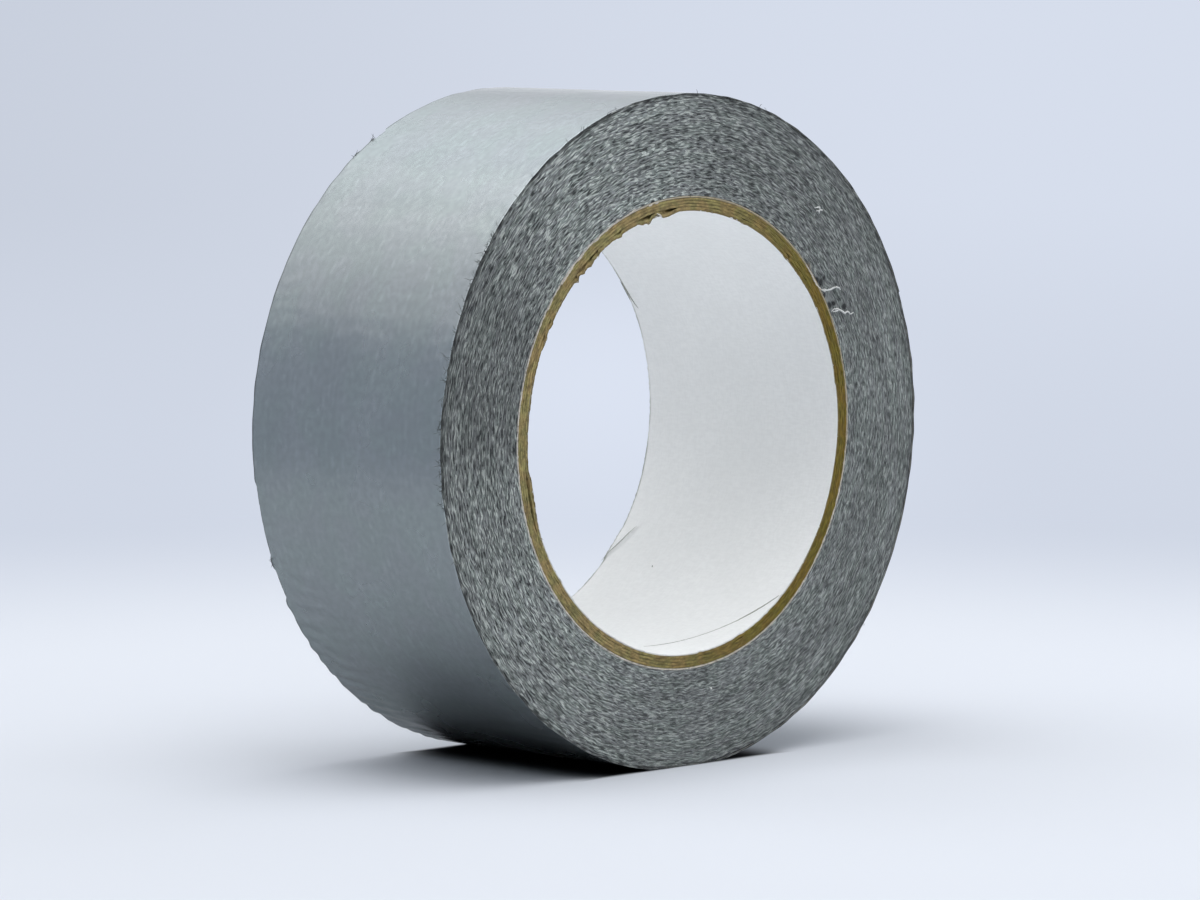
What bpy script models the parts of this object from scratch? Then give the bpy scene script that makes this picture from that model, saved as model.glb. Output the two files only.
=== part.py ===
"""Roll of silver cloth tape on a spiral-wound paper core, standing on its tread.

Metres, +Z up. The roll's axis lies along Y, the floor is Z = 0 and the front face looks
along -Y. Every piece is drawn in the roll's own frame: local X and Y are the face as seen
from the front, and local Z runs along the axis, out of the front face.

The tape winds clockwise as seen from the front. A turn angle is measured the same way,
from the free edge of the tape: 0 is just past the edge, and a whole turn later the tape
arrives at that edge again, one thickness further out.
"""

import math

import bmesh
import bpy
from mathutils import Vector

# The whole roll
SLIT_WIDTH = 0.047  # tape and core are slit to one width
FLAT_DEPTH = 0.0005  # how far the tread is pressed flat where the roll stands

# The tape
TAPE_THICKNESS = 0.00022
TAPE_TURNS = 80  # turns on the core, with the last one
FREE_END_LENGTH = 0.028  # the end of the tape that is picked up and peeled
FREE_EDGE_ANGLE = math.radians(22)  # where the cut edge lies, from +X towards +Z
WIND_GAP = 0.00005  # between the last turn and the turns under it
START_GAP = 0.0005  # between the last turn and the step that it grows out of
PEEL_GAP = 0.0005  # between the last turn and the free end, along the tape

# The core: a white liner, brown board plies and a thin outer wrap
BORE_DIAMETER = 0.077
LINER_THICKNESS = 0.0002
BOARD_PLY_THICKNESS = 0.00042
BOARD_PLY_COUNT = 4
WRAP_THICKNESS = 0.00016
GLUE_LINE = 0.00005  # between one ply and the next, and between core and tape

# The helical butt seams of the core's plies
SEAM_GAP = 0.0005
SEAM_LEAD = 0.115  # along the axis for each turn
LINER_SEAM_ANGLE = math.radians(-51)  # at the front face, from +X towards +Z
SEAM_STAGGER = math.radians(100)  # from one ply's seam to the next ply's
CUTTER_MARGIN = 0.002  # how far a seam cutter stands past the ply that it cuts

# Facets
TURN = 2 * math.pi
ROUND_STEPS = 96
STEP_ANGLE = TURN / ROUND_STEPS
MERGE_DISTANCE = 0.000001

# Sizes that follow
HALF_WIDTH = SLIT_WIDTH / 2
BORE_RADIUS = BORE_DIAMETER / 2
PLY_THICKNESSES = [LINER_THICKNESS] + [BOARD_PLY_THICKNESS] * BOARD_PLY_COUNT + [WRAP_THICKNESS]
PLY_NAMES = ["core_liner"] + [f"core_ply_{n + 1}" for n in range(BOARD_PLY_COUNT)] + ["core_wrap"]
TAPE_BORE_RADIUS = BORE_RADIUS + sum(PLY_THICKNESSES) + GLUE_LINE * len(PLY_THICKNESSES)
PACK_RADIUS = TAPE_BORE_RADIUS + TAPE_THICKNESS * (TAPE_TURNS - 1)
FLOOR_TURN_ANGLE = FREE_EDGE_ANGLE + math.radians(90)


def spiral_radius(turn_angle, lift):
    """Radius of the wound turns, lift above the turns under the last one."""
    return PACK_RADIUS + TAPE_THICKNESS * turn_angle / TURN + lift


LAST_TURN_LIFT = WIND_GAP + TAPE_THICKNESS
FLOOR_RADIUS = spiral_radius(FLOOR_TURN_ANGLE, LAST_TURN_LIFT)
AXIS_HEIGHT = FLOOR_RADIUS - FLAT_DEPTH
FLAT_HALF_ANGLE = math.acos(AXIS_HEIGHT / FLOOR_RADIUS)
PEEL_ANGLE = TURN - FREE_END_LENGTH / spiral_radius(TURN, LAST_TURN_LIFT)
START_ANGLE = START_GAP / PACK_RADIUS
LAST_TURN_END = PEEL_ANGLE - PEEL_GAP / PACK_RADIUS


def layer_radius(turn_angle, lift):
    """Radius of the tread lift above the turns under the last one, flat where the roll stands."""
    from_floor = turn_angle - FLOOR_TURN_ANGLE
    if abs(from_floor) > FLAT_HALF_ANGLE + STEP_ANGLE / 1000:
        return spiral_radius(turn_angle, lift)
    return (AXIS_HEIGHT - LAST_TURN_LIFT + lift) / math.cos(from_floor)


def layer_point(turn_angle, lift):
    """A point of the tread in the roll's frame."""
    radius = layer_radius(turn_angle, lift)
    angle = FREE_EDGE_ANGLE - turn_angle
    return Vector((radius * math.cos(angle), radius * math.sin(angle), 0))


def winding_stations():
    """Turn angles shared by all the tape's pieces, so that their facets lie parallel."""
    flat_start = FLOOR_TURN_ANGLE - FLAT_HALF_ANGLE
    flat_end = FLOOR_TURN_ANGLE + FLAT_HALF_ANGLE
    breaks = sorted([0, START_ANGLE, flat_start, flat_end, LAST_TURN_END, PEEL_ANGLE, TURN])
    stations = [0]
    for first, last in zip(breaks, breaks[1:]):
        pieces = 1 if first == flat_start else math.ceil((last - first) / STEP_ANGLE)
        stations += [first + (last - first) * (n + 1) / pieces for n in range(pieces)]
    return stations


def strip_outline(first, last):
    """Outline of a stretch of the last turn: along its face, then back along its underside."""
    stations = [angle for angle in winding_stations() if first <= angle <= last]
    face = [layer_point(angle, LAST_TURN_LIFT) for angle in stations]
    underside = [layer_point(angle, WIND_GAP) for angle in reversed(stations)]
    return face + underside


def new_collection(name):
    collection = bpy.data.collections.new(name)
    bpy.context.scene.collection.children.link(collection)
    return collection


def new_material(name, colour, roughness, metallic=0.0):
    material = bpy.data.materials.new(name)
    material.use_nodes = True
    shader = material.node_tree.nodes["Principled BSDF"]
    shader.inputs["Base Color"].default_value = (*colour, 1)
    shader.inputs["Roughness"].default_value = roughness
    shader.inputs["Metallic"].default_value = metallic
    return material


def place(name, data, collection, parent, material=None):
    """A named object in the roll's frame."""
    shape = bpy.data.objects.new(name, data)
    shape.parent = parent
    if material:
        data.materials.append(material)
    collection.objects.link(shape)
    return shape


def wire_mesh(name, points, closed):
    """A mesh of edges alone, the profile of a turned shape."""
    mesh = bpy.data.meshes.new(name)
    shape = bmesh.new()
    corners = [shape.verts.new(point) for point in points]
    for first, last in zip(corners, corners[1:]):
        shape.edges.new((first, last))
    if closed:
        shape.edges.new((corners[-1], corners[0]))
    shape.to_mesh(mesh)
    shape.free()
    return mesh


def turn_profile(shape, angle, steps, rise=0.0):
    """Sweep a profile round the roll's axis, rising along it if asked."""
    screw = shape.modifiers.new("turn", "SCREW")
    screw.angle = angle
    screw.screw_offset = rise
    screw.steps = steps
    screw.render_steps = steps
    screw.use_merge_vertices = True
    screw.merge_threshold = MERGE_DISTANCE
    screw.use_smooth_shade = True


def seam_cutter(name, inner_radius, outer_radius, front_angle, collection, parent):
    """A helical blade that cuts a ply's butt seam right through the wall."""
    reach = HALF_WIDTH + CUTTER_MARGIN
    sweep = TURN * 2 * reach / SEAM_LEAD
    profile = [
        (inner_radius - CUTTER_MARGIN, 0, -reach),
        (outer_radius + CUTTER_MARGIN, 0, -reach),
    ]
    cutter = place(name, wire_mesh(name, profile, closed=False), collection, parent)
    cutter.rotation_euler.z = front_angle - TURN * (HALF_WIDTH + reach) / SEAM_LEAD
    turn_profile(cutter, sweep, math.ceil(sweep / STEP_ANGLE), rise=2 * reach)
    blade = cutter.modifiers.new("blade", "SOLIDIFY")
    blade.thickness = SEAM_GAP
    blade.offset = 0
    cutter.hide_render = True
    cutter.display_type = "WIRE"
    return cutter


def core_ply(name, inner_radius, outer_radius, seam_angle, parts, cutters, parent, material):
    """One paper tube of the core, open along its helical seam."""
    profile = [
        (outer_radius, 0, HALF_WIDTH),
        (outer_radius, 0, -HALF_WIDTH),
        (inner_radius, 0, -HALF_WIDTH),
        (inner_radius, 0, HALF_WIDTH),
    ]
    ply = place(name, wire_mesh(name, profile, closed=True), parts, parent, material)
    turn_profile(ply, TURN, ROUND_STEPS)
    seam = ply.modifiers.new("seam", "BOOLEAN")
    seam.operation = "DIFFERENCE"
    seam.object = seam_cutter(f"{name}_seam", inner_radius, outer_radius, seam_angle, cutters, parent)
    return ply


def build_core(parts, cutters, parent):
    """The plies from the bore outwards, each seam turned on from the last."""
    liner_white = new_material("liner_white", (0.72, 0.74, 0.76), 0.8)
    kraft_brown = new_material("kraft_brown", (0.22, 0.17, 0.085), 0.9)
    wrap_pale = new_material("wrap_pale", (0.42, 0.37, 0.29), 0.9)
    papers = [liner_white] + [kraft_brown] * BOARD_PLY_COUNT + [wrap_pale]
    radius = BORE_RADIUS
    for number, (name, thickness) in enumerate(zip(PLY_NAMES, PLY_THICKNESSES)):
        seam_angle = LINER_SEAM_ANGLE + SEAM_STAGGER * number
        core_ply(name, radius, radius + thickness, seam_angle, parts, cutters, parent, papers[number])
        radius += thickness + GLUE_LINE


def slab(name, outlines, parts, parent, material, origin=Vector()):
    """An outline in the face's plane, as thick as the roll is wide."""
    curve = bpy.data.curves.new(name, "CURVE")
    curve.dimensions = "2D"
    curve.fill_mode = "BOTH"
    curve.extrude = HALF_WIDTH
    for points in outlines:
        spline = curve.splines.new("POLY")
        spline.points.add(len(points) - 1)
        for corner, point in zip(spline.points, points):
            corner.co = (*(point - origin), 1)
        spline.use_cyclic_u = True
    shape = place(name, curve, parts, parent, material)
    shape.location = origin
    return shape


def build_tape(parts, parent):
    """The wound turns, the last turn that winds over them, and the free end."""
    edge_grey = new_material("tape_edge_grey", (0.15, 0.16, 0.16), 0.7)
    film_silver = new_material("film_silver", (0.33, 0.36, 0.37), 0.4, metallic=0.2)
    end_silver = new_material("end_silver", (0.33, 0.36, 0.37), 0.4, metallic=0.2)

    spiral = [layer_point(angle, 0) for angle in winding_stations()]
    core_seat = [
        Vector((math.cos(STEP_ANGLE * n), math.sin(STEP_ANGLE * n), 0)) * TAPE_BORE_RADIUS
        for n in range(ROUND_STEPS)
    ]
    slab("tape_pack", [spiral, core_seat], parts, parent, edge_grey)
    slab("outer_turn", [strip_outline(START_ANGLE, LAST_TURN_END)], parts, parent, film_silver)

    peel_line = layer_point(PEEL_ANGLE, WIND_GAP + TAPE_THICKNESS / 2)
    slab("tape_end", [strip_outline(PEEL_ANGLE, TURN)], parts, parent, end_silver, peel_line)
    print(f"peel line, in metres from the roll's axis: {peel_line.x:.6f} {peel_line.y:.6f}")


def least_gap():
    """Least distance of the last turn to itself and to the free end, on points of their outlines."""
    turn = strip_outline(START_ANGLE, LAST_TURN_END)
    half = len(turn) // 4
    starts = turn[:half] + turn[-half:]
    ends = turn[half:-half] + strip_outline(PEEL_ANGLE, TURN)
    near = [end for end in ends if end.angle(starts[0], 0) < STEP_ANGLE * 4]
    return min((start - end).length for start in starts for end in near)


def main():
    for leftover in list(bpy.data.objects):
        bpy.data.objects.remove(leftover, do_unlink=True)
    parts = new_collection("cloth_tape_roll")
    cutters = new_collection("cutters")

    roll_axis = bpy.data.objects.new("roll_axis", None)
    roll_axis.location.z = AXIS_HEIGHT
    roll_axis.rotation_euler.x = math.radians(90)
    parts.objects.link(roll_axis)

    build_core(parts, cutters, roll_axis)
    build_tape(parts, roll_axis)
    print(f"axis height {AXIS_HEIGHT:.6f} m, core seat radius {TAPE_BORE_RADIUS:.6f} m")
    print(f"least gap of the last turn to itself and to the free end: {least_gap() * 1000:.3f} mm")


main()
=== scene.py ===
"""Looks of a roll of silver cloth tape: film, cut threads, paper core, floor, light and camera."""

import logging
import math
from dataclasses import dataclass, field
from enum import Enum

import bpy
import numpy as np
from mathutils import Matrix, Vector


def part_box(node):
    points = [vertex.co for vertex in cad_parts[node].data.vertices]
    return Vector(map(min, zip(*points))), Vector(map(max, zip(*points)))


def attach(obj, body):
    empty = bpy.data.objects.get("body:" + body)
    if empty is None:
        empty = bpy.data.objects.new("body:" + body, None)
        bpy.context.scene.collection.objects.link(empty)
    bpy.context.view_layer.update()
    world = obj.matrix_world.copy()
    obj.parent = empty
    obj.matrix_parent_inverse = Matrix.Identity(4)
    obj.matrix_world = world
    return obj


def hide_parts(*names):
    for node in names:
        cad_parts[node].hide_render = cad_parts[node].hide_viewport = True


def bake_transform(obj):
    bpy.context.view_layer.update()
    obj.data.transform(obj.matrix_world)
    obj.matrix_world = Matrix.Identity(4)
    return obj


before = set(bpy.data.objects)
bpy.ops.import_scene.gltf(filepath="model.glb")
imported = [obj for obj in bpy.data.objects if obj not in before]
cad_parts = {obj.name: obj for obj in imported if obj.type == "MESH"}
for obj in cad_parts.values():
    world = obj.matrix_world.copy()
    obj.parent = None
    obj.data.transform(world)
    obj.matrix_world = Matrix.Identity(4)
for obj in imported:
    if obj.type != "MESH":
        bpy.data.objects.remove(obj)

LOG = logging.getLogger("cloth_tape_roll")
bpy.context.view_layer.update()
TURN = 2 * math.pi
MM = 0.001
Socket = bpy.types.NodeSocket
Colour = tuple[float, float, float]
# Near-black colour of painted shade in pockets and small gaps.
PAINTED_POCKET_SHADE: Colour = (0.006, 0.007, 0.007)


class Side(Enum):
    """The two slit faces of the roll, each with the way that it looks along Y."""

    FRONT = -1
    BACK = 1


class Paper(Enum):
    """The papers of the core, each with the slot that gives its finish."""

    LINER = "liner_paper"
    BOARD = "core_board"
    WRAP = "wrap_paper"


def node_radius(node: str) -> float:
    """Outer radius of a round node of the frame, in metres."""
    low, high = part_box(node)
    return (high[0] - low[0]) / 2


def smooth_step(value: np.ndarray) -> np.ndarray:
    """Smooth rise from 0 to 1 as the value goes from 0 to 1."""
    share = np.clip(value, 0, 1)
    return share * share * (3 - 2 * share)


def ripple(points: np.ndarray, wavelength: float, seed: int, waves: int = 32) -> np.ndarray:
    """Smooth random relief, a sum of plane waves in space.

    Args:
        points: places in metres, with the coordinates in the last axis.
        wavelength: the usual distance from crest to crest, in metres.
        seed: seed of the random directions and phases.
        waves: how many waves are added.

    Returns:
        One value for each place, with mean 0 and spread 1.
    """
    draw = np.random.default_rng(seed)
    directions = draw.normal(size=(waves, points.shape[-1]))
    directions /= np.linalg.norm(directions, axis=1, keepdims=True)
    rates = TURN / wavelength * draw.uniform(0.55, 1.45, size=(waves, 1))
    phases = draw.uniform(0, TURN, size=waves)
    total = np.zeros(points.shape[:-1])
    for direction, phase in zip(directions * rates, phases):
        total += np.cos(points @ direction + phase)
    return total * math.sqrt(2 / waves)


@dataclass(frozen=True)
class Arc:
    """A stretch about the roll's axis, in degrees from +X towards +Z, with soft ends."""

    first: float
    last: float
    soft: float = 3.0

    def share(self, angle: np.ndarray) -> np.ndarray:
        """1 inside the stretch and 0 outside, for angles in radians."""
        middle = math.radians(self.first + self.last) / 2
        half = math.radians(self.last - self.first) / 2
        off = np.abs((angle - middle + math.pi) % TURN - math.pi)
        return smooth_step((half - off) / math.radians(self.soft) + 0.5)

    def draw(self, random: np.random.Generator) -> float:
        """A random angle of the stretch, in radians."""
        return math.radians(random.uniform(self.first, self.last))


@dataclass(frozen=True)
class Winding:
    """The tape on its core, in the same measure as the solids.

    A turn angle runs clockwise as seen from the front, from the free edge of the tape.
    """

    axis_height: float
    half_width: float
    seat_radius: float
    thickness: float = 0.22 * MM
    turns: int = 80
    free_edge: float = math.radians(22)
    flat_depth: float = 0.5 * MM
    wind_gap: float = 0.05 * MM
    weft_pitch: float = 3.3 * MM
    warp_pitch: float = 1.3 * MM
    strand_pitch: float = 0.66 * MM
    strand_length: float = 1.6 * MM
    wrinkled: Arc = Arc(196, 252, 18)
    bore_radius: float = 38.5 * MM
    board_radius: float = 40.58 * MM
    fray: float = 0.15 * MM
    slow_waves: tuple[tuple[float, float, int], ...] = ((0.004 * MM, 6 * MM, 11), (0.02 * MM, 30 * MM, 12))
    rib_height: float = 0.008 * MM
    edge_rib_height: float = 0.010 * MM
    wrinkle_heights: tuple[float, float] = (0.07 * MM, 0.06 * MM)
    front_edges: tuple[tuple[Arc, float, float], ...] = (
        (Arc(-150, -45, 50), 0.0, 0.30 * MM),
        (Arc(-25, 130, 24), -0.18 * MM, 0.03 * MM),
        (Arc(35, 75, 30), 0.0, 0.16 * MM),
        (Arc(165, 195, 20), -0.10 * MM, 0.0),
    )

    @classmethod
    def from_frame(cls) -> "Winding":
        """The winding at the place and size that the frame gives it."""
        low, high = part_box("core_liner")
        glue_line = 0.05 * MM
        return cls(
            axis_height=(low[2] + high[2]) / 2,
            half_width=(high[1] - low[1]) / 2,
            seat_radius=node_radius("core_wrap") + glue_line,
        )

    @property
    def pack_radius(self) -> float:
        """Radius of the turns under the last one, at the free edge."""
        return self.seat_radius + self.thickness * (self.turns - 1)

    @property
    def last_lift(self) -> float:
        """Height of the film over the turns under the last one."""
        return self.wind_gap + self.thickness

    def radius(self, turn_angle: np.ndarray, lift: float = 0.0) -> np.ndarray:
        """Radius of the tread, flat where the roll stands.

        Args:
            turn_angle: turn angles in radians.
            lift: height over the turns under the last one, in metres.

        Returns:
            The radius at each turn angle, in metres.
        """
        floor_angle = self.free_edge + TURN / 4
        spiral = self.pack_radius + self.thickness * turn_angle / TURN
        half_flat = math.acos(self.axis_height / (self.axis_height + self.flat_depth))
        from_floor = turn_angle - floor_angle
        flat = (self.axis_height - self.last_lift) / np.cos(np.clip(from_floor, -1, 1))
        return np.where(np.abs(from_floor) < half_flat, flat, spiral) + lift

    def last_length(self, turn_angle: np.ndarray) -> np.ndarray:
        """Length of tape from the core to a turn angle of the last turn."""
        wound = TURN * (self.turns - 1) + turn_angle
        return self.seat_radius * wound + self.thickness * wound**2 / (2 * TURN)

    def around(self, angle: np.ndarray, radius: np.ndarray, depth: np.ndarray) -> np.ndarray:
        """Points at angles from +X towards +Z about the roll's axis.

        Args:
            angle: angles in radians.
            radius: distances from the roll's axis.
            depth: places along the roll's axis.

        Returns:
            An array of points with their coordinates in the last axis.
        """
        angle, radius, depth = np.broadcast_arrays(angle, radius, depth)
        return np.stack([radius * np.cos(angle), depth, self.axis_height + radius * np.sin(angle)], axis=-1)

    def place(self, turn_angle: np.ndarray, radius: np.ndarray, depth: np.ndarray) -> np.ndarray:
        """Points at turn angles, otherwise as around gives them."""
        return self.around(self.free_edge - turn_angle, radius, depth)

    def strand_ends(self, turn_angle: np.ndarray, radius: np.ndarray) -> np.ndarray:
        """How much of a cut cross thread shows at places of a slit face, from 0 to 1."""
        turns = (radius - self.seat_radius) / self.strand_pitch - turn_angle / TURN
        wound = TURN * np.floor(turns) + turn_angle
        along = (self.seat_radius * wound + self.strand_pitch * wound**2 / (2 * TURN)) / self.weft_pitch
        from_middle = np.abs(along - np.floor(along) - 0.5) * self.weft_pitch
        within = np.abs(turns - np.floor(turns) - 0.5)
        return smooth_step(1.5 - 2 * from_middle / self.strand_length) * smooth_step(1.4 - 2.8 * within)

    def spread(self, angle: np.ndarray, radius: np.ndarray, depth: np.ndarray) -> np.ndarray:
        """How far the core, and the tape on it, stands off its true round towards the worn front end.

        Args:
            angle: angles from +X towards +Z, in radians.
            radius: true distances from the roll's axis.
            depth: places along the roll's axis.

        Returns:
            The shift away from the axis at each place, in metres.
        """
        inner = sum(arc.share(angle) * shift for arc, shift, _ in self.front_edges)
        outer = sum(arc.share(angle) * shift for arc, _, shift in self.front_edges)
        across = np.clip((radius - self.bore_radius) / (self.board_radius - self.bore_radius), 0, 1)
        frayed = np.clip((radius - self.board_radius) / (self.seat_radius - self.board_radius), 0, 1)
        front = smooth_step(-depth / self.half_width)
        return (inner + (outer - inner) * across + self.fray * frayed) * front

    def on_flat(self, turn_angle: np.ndarray) -> np.ndarray:
        """1 where the roll stands on its flat and 0 elsewhere, with soft ends."""
        half_flat = math.acos(self.axis_height / (self.axis_height + self.flat_depth))
        off = np.abs(turn_angle - self.free_edge - TURN / 4)
        return smooth_step((half_flat - off) / math.radians(2) + 1.5)

    def film_relief(self, turn_angle: np.ndarray, along: np.ndarray, depth: np.ndarray) -> np.ndarray:
        """Height of the film where it follows the cloth under it, in metres.

        Args:
            turn_angle: turn angles of the places.
            along: their places along the tape.
            depth: their places along the roll's axis.

        Returns:
            The height at each place: slow waves, ribs that show more towards the slit edges, and
            wrinkles along the back edge low on the roll.
        """
        flat = np.stack(np.broadcast_arrays(along, depth), axis=-1)
        rib = np.cos(TURN * along / self.weft_pitch + 0.9 * ripple(flat, 12 * MM, seed=10))
        patch = smooth_step(0.5 + 0.35 * ripple(flat, 18 * MM, seed=13))
        near_edge = smooth_step(np.abs(depth) / self.half_width * 1.8 - 0.8)
        waves = sum(height * ripple(flat, length, seed) for height, length, seed in self.slow_waves)
        lumps = ripple(flat * np.array([1.0, 0.4]), 2.6 * MM, seed=14)
        at_back = smooth_step(depth / self.half_width * 1.6 - 0.6)
        wrinkled = self.wrinkled.share(self.free_edge - turn_angle) * at_back
        height = rib * patch * (self.rib_height + self.edge_rib_height * near_edge) + waves
        ribbed, lumped = self.wrinkle_heights
        height = height + wrinkled * (ribbed * rib + lumped * lumps)
        return height * (1 - self.on_flat(turn_angle))


class Graph:
    """A shader node tree, with short ways to add the nodes that the finishes use."""

    def __init__(self, tree: bpy.types.NodeTree) -> None:
        """Works on the given tree."""
        self.tree = tree

    def feed(self, socket: Socket, value: object) -> None:
        """Links a socket into another, or sets its plain value."""
        if isinstance(value, bpy.types.NodeSocket):
            self.tree.links.new(value, socket)
        else:
            socket.default_value = value

    def add(self, kind: str, inputs: dict | None = None, **settings: object) -> bpy.types.Node:
        """Adds a node.

        Args:
            kind: Blender's name of the node type.
            inputs: sockets or plain values by input name or number.
            settings: properties of the node.

        Returns:
            The new node.
        """
        node = self.tree.nodes.new(kind)
        for name, value in settings.items():
            setattr(node, name, value)
        for key, value in (inputs or {}).items():
            self.feed(node.inputs[key], value)
        return node

    def math(self, operation: str, *values: object) -> Socket:
        """The result of a Math node."""
        return self.add("ShaderNodeMath", dict(enumerate(values)), operation=operation).outputs[0]

    def total(self, *values: object) -> Socket:
        """The sum of two or more values."""
        result = values[0]
        for value in values[1:]:
            result = self.math("ADD", result, value)
        return result

    def product(self, *values: object) -> Socket:
        """The product of two or more values."""
        result = values[0]
        for value in values[1:]:
            result = self.math("MULTIPLY", result, value)
        return result

    def off_middle(self, value: object) -> Socket:
        """How far a value is from 0.5, with its sign."""
        return self.math("SUBTRACT", value, 0.5)

    def vector(self, operation: str, first: object, second: object, output: str = "Vector") -> Socket:
        """The result of a Vector Math node."""
        inputs = {0: first, 1: second}
        return self.add("ShaderNodeVectorMath", inputs, operation=operation).outputs[output]

    def dot(self, first: object, second: object) -> Socket:
        """The dot product of two vectors."""
        return self.vector("DOT_PRODUCT", first, second, "Value")

    def distance(self, first: object, second: object) -> Socket:
        """The distance of two places."""
        return self.vector("DISTANCE", first, second, "Value")

    def stretch(self, vector: Socket, factors: object) -> Socket:
        """A vector with its coordinates multiplied by those of another."""
        return self.vector("MULTIPLY", vector, factors)

    def combine(self, x: object, y: object, z: object) -> Socket:
        """A vector from its coordinates."""
        return self.add("ShaderNodeCombineXYZ", {0: x, 1: y, 2: z}).outputs[0]

    def separate(self, vector: Socket) -> tuple[Socket, Socket, Socket]:
        """The coordinates of a vector."""
        return tuple(self.add("ShaderNodeSeparateXYZ", {0: vector}).outputs)

    def mix(self, factor: object, first: object, second: object, blend: str = "MIX") -> Socket:
        """A mix of two colours."""
        node = self.add("ShaderNodeMix", data_type="RGBA", blend_type=blend)
        for number, value in zip((0, 6, 7), (factor, first, second)):
            self.feed(node.inputs[number], value)
        return node.outputs[2]

    def dim(self, colour: Socket, factor: Socket) -> Socket:
        """A colour multiplied by a number."""
        return self.mix(1.0, colour, self.combine(factor, factor, factor), "MULTIPLY")

    def rise(self, value: object, low: object, high: object, start: float = 0.0, end: float = 1.0) -> Socket:
        """A smooth change from start to end as the value goes from low to high."""
        inputs = {0: value, 1: low, 2: high, 3: start, 4: end}
        return self.add("ShaderNodeMapRange", inputs, interpolation_type="SMOOTHSTEP").outputs[0]

    def noise(self, vector: Socket, scale: object, detail: float = 2.0, roughness: float = 0.5) -> Socket:
        """A noise value of about 0.5."""
        inputs = {"Vector": vector, "Scale": scale, "Detail": detail, "Roughness": roughness}
        return self.add("ShaderNodeTexNoise", inputs).outputs["Fac"]

    def chances(self, first: object, second: object, third: object) -> tuple[Socket, Socket, Socket]:
        """Three random numbers from 0 to 1 that belong to three whole numbers."""
        cell = self.combine(first, second, third)
        node = self.add("ShaderNodeTexWhiteNoise", {"Vector": cell}, noise_dimensions="3D")
        return self.separate(node.outputs["Color"])

    def group(self, group: bpy.types.NodeTree, **inputs: object) -> bpy.types.bpy_prop_collection:
        """Places a node group with its inputs by name, and gives its outputs."""
        node = self.add("ShaderNodeGroup", node_tree=group)
        for name, value in inputs.items():
            self.feed(node.inputs[name], value)
        return node.outputs

    def bump(self, height: Socket, distance: float) -> Socket:
        """A normal bent by a height from 0 to 1 that stands for the given distance."""
        return self.add("ShaderNodeBump", {"Height": height, "Distance": distance}).outputs[0]


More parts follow.
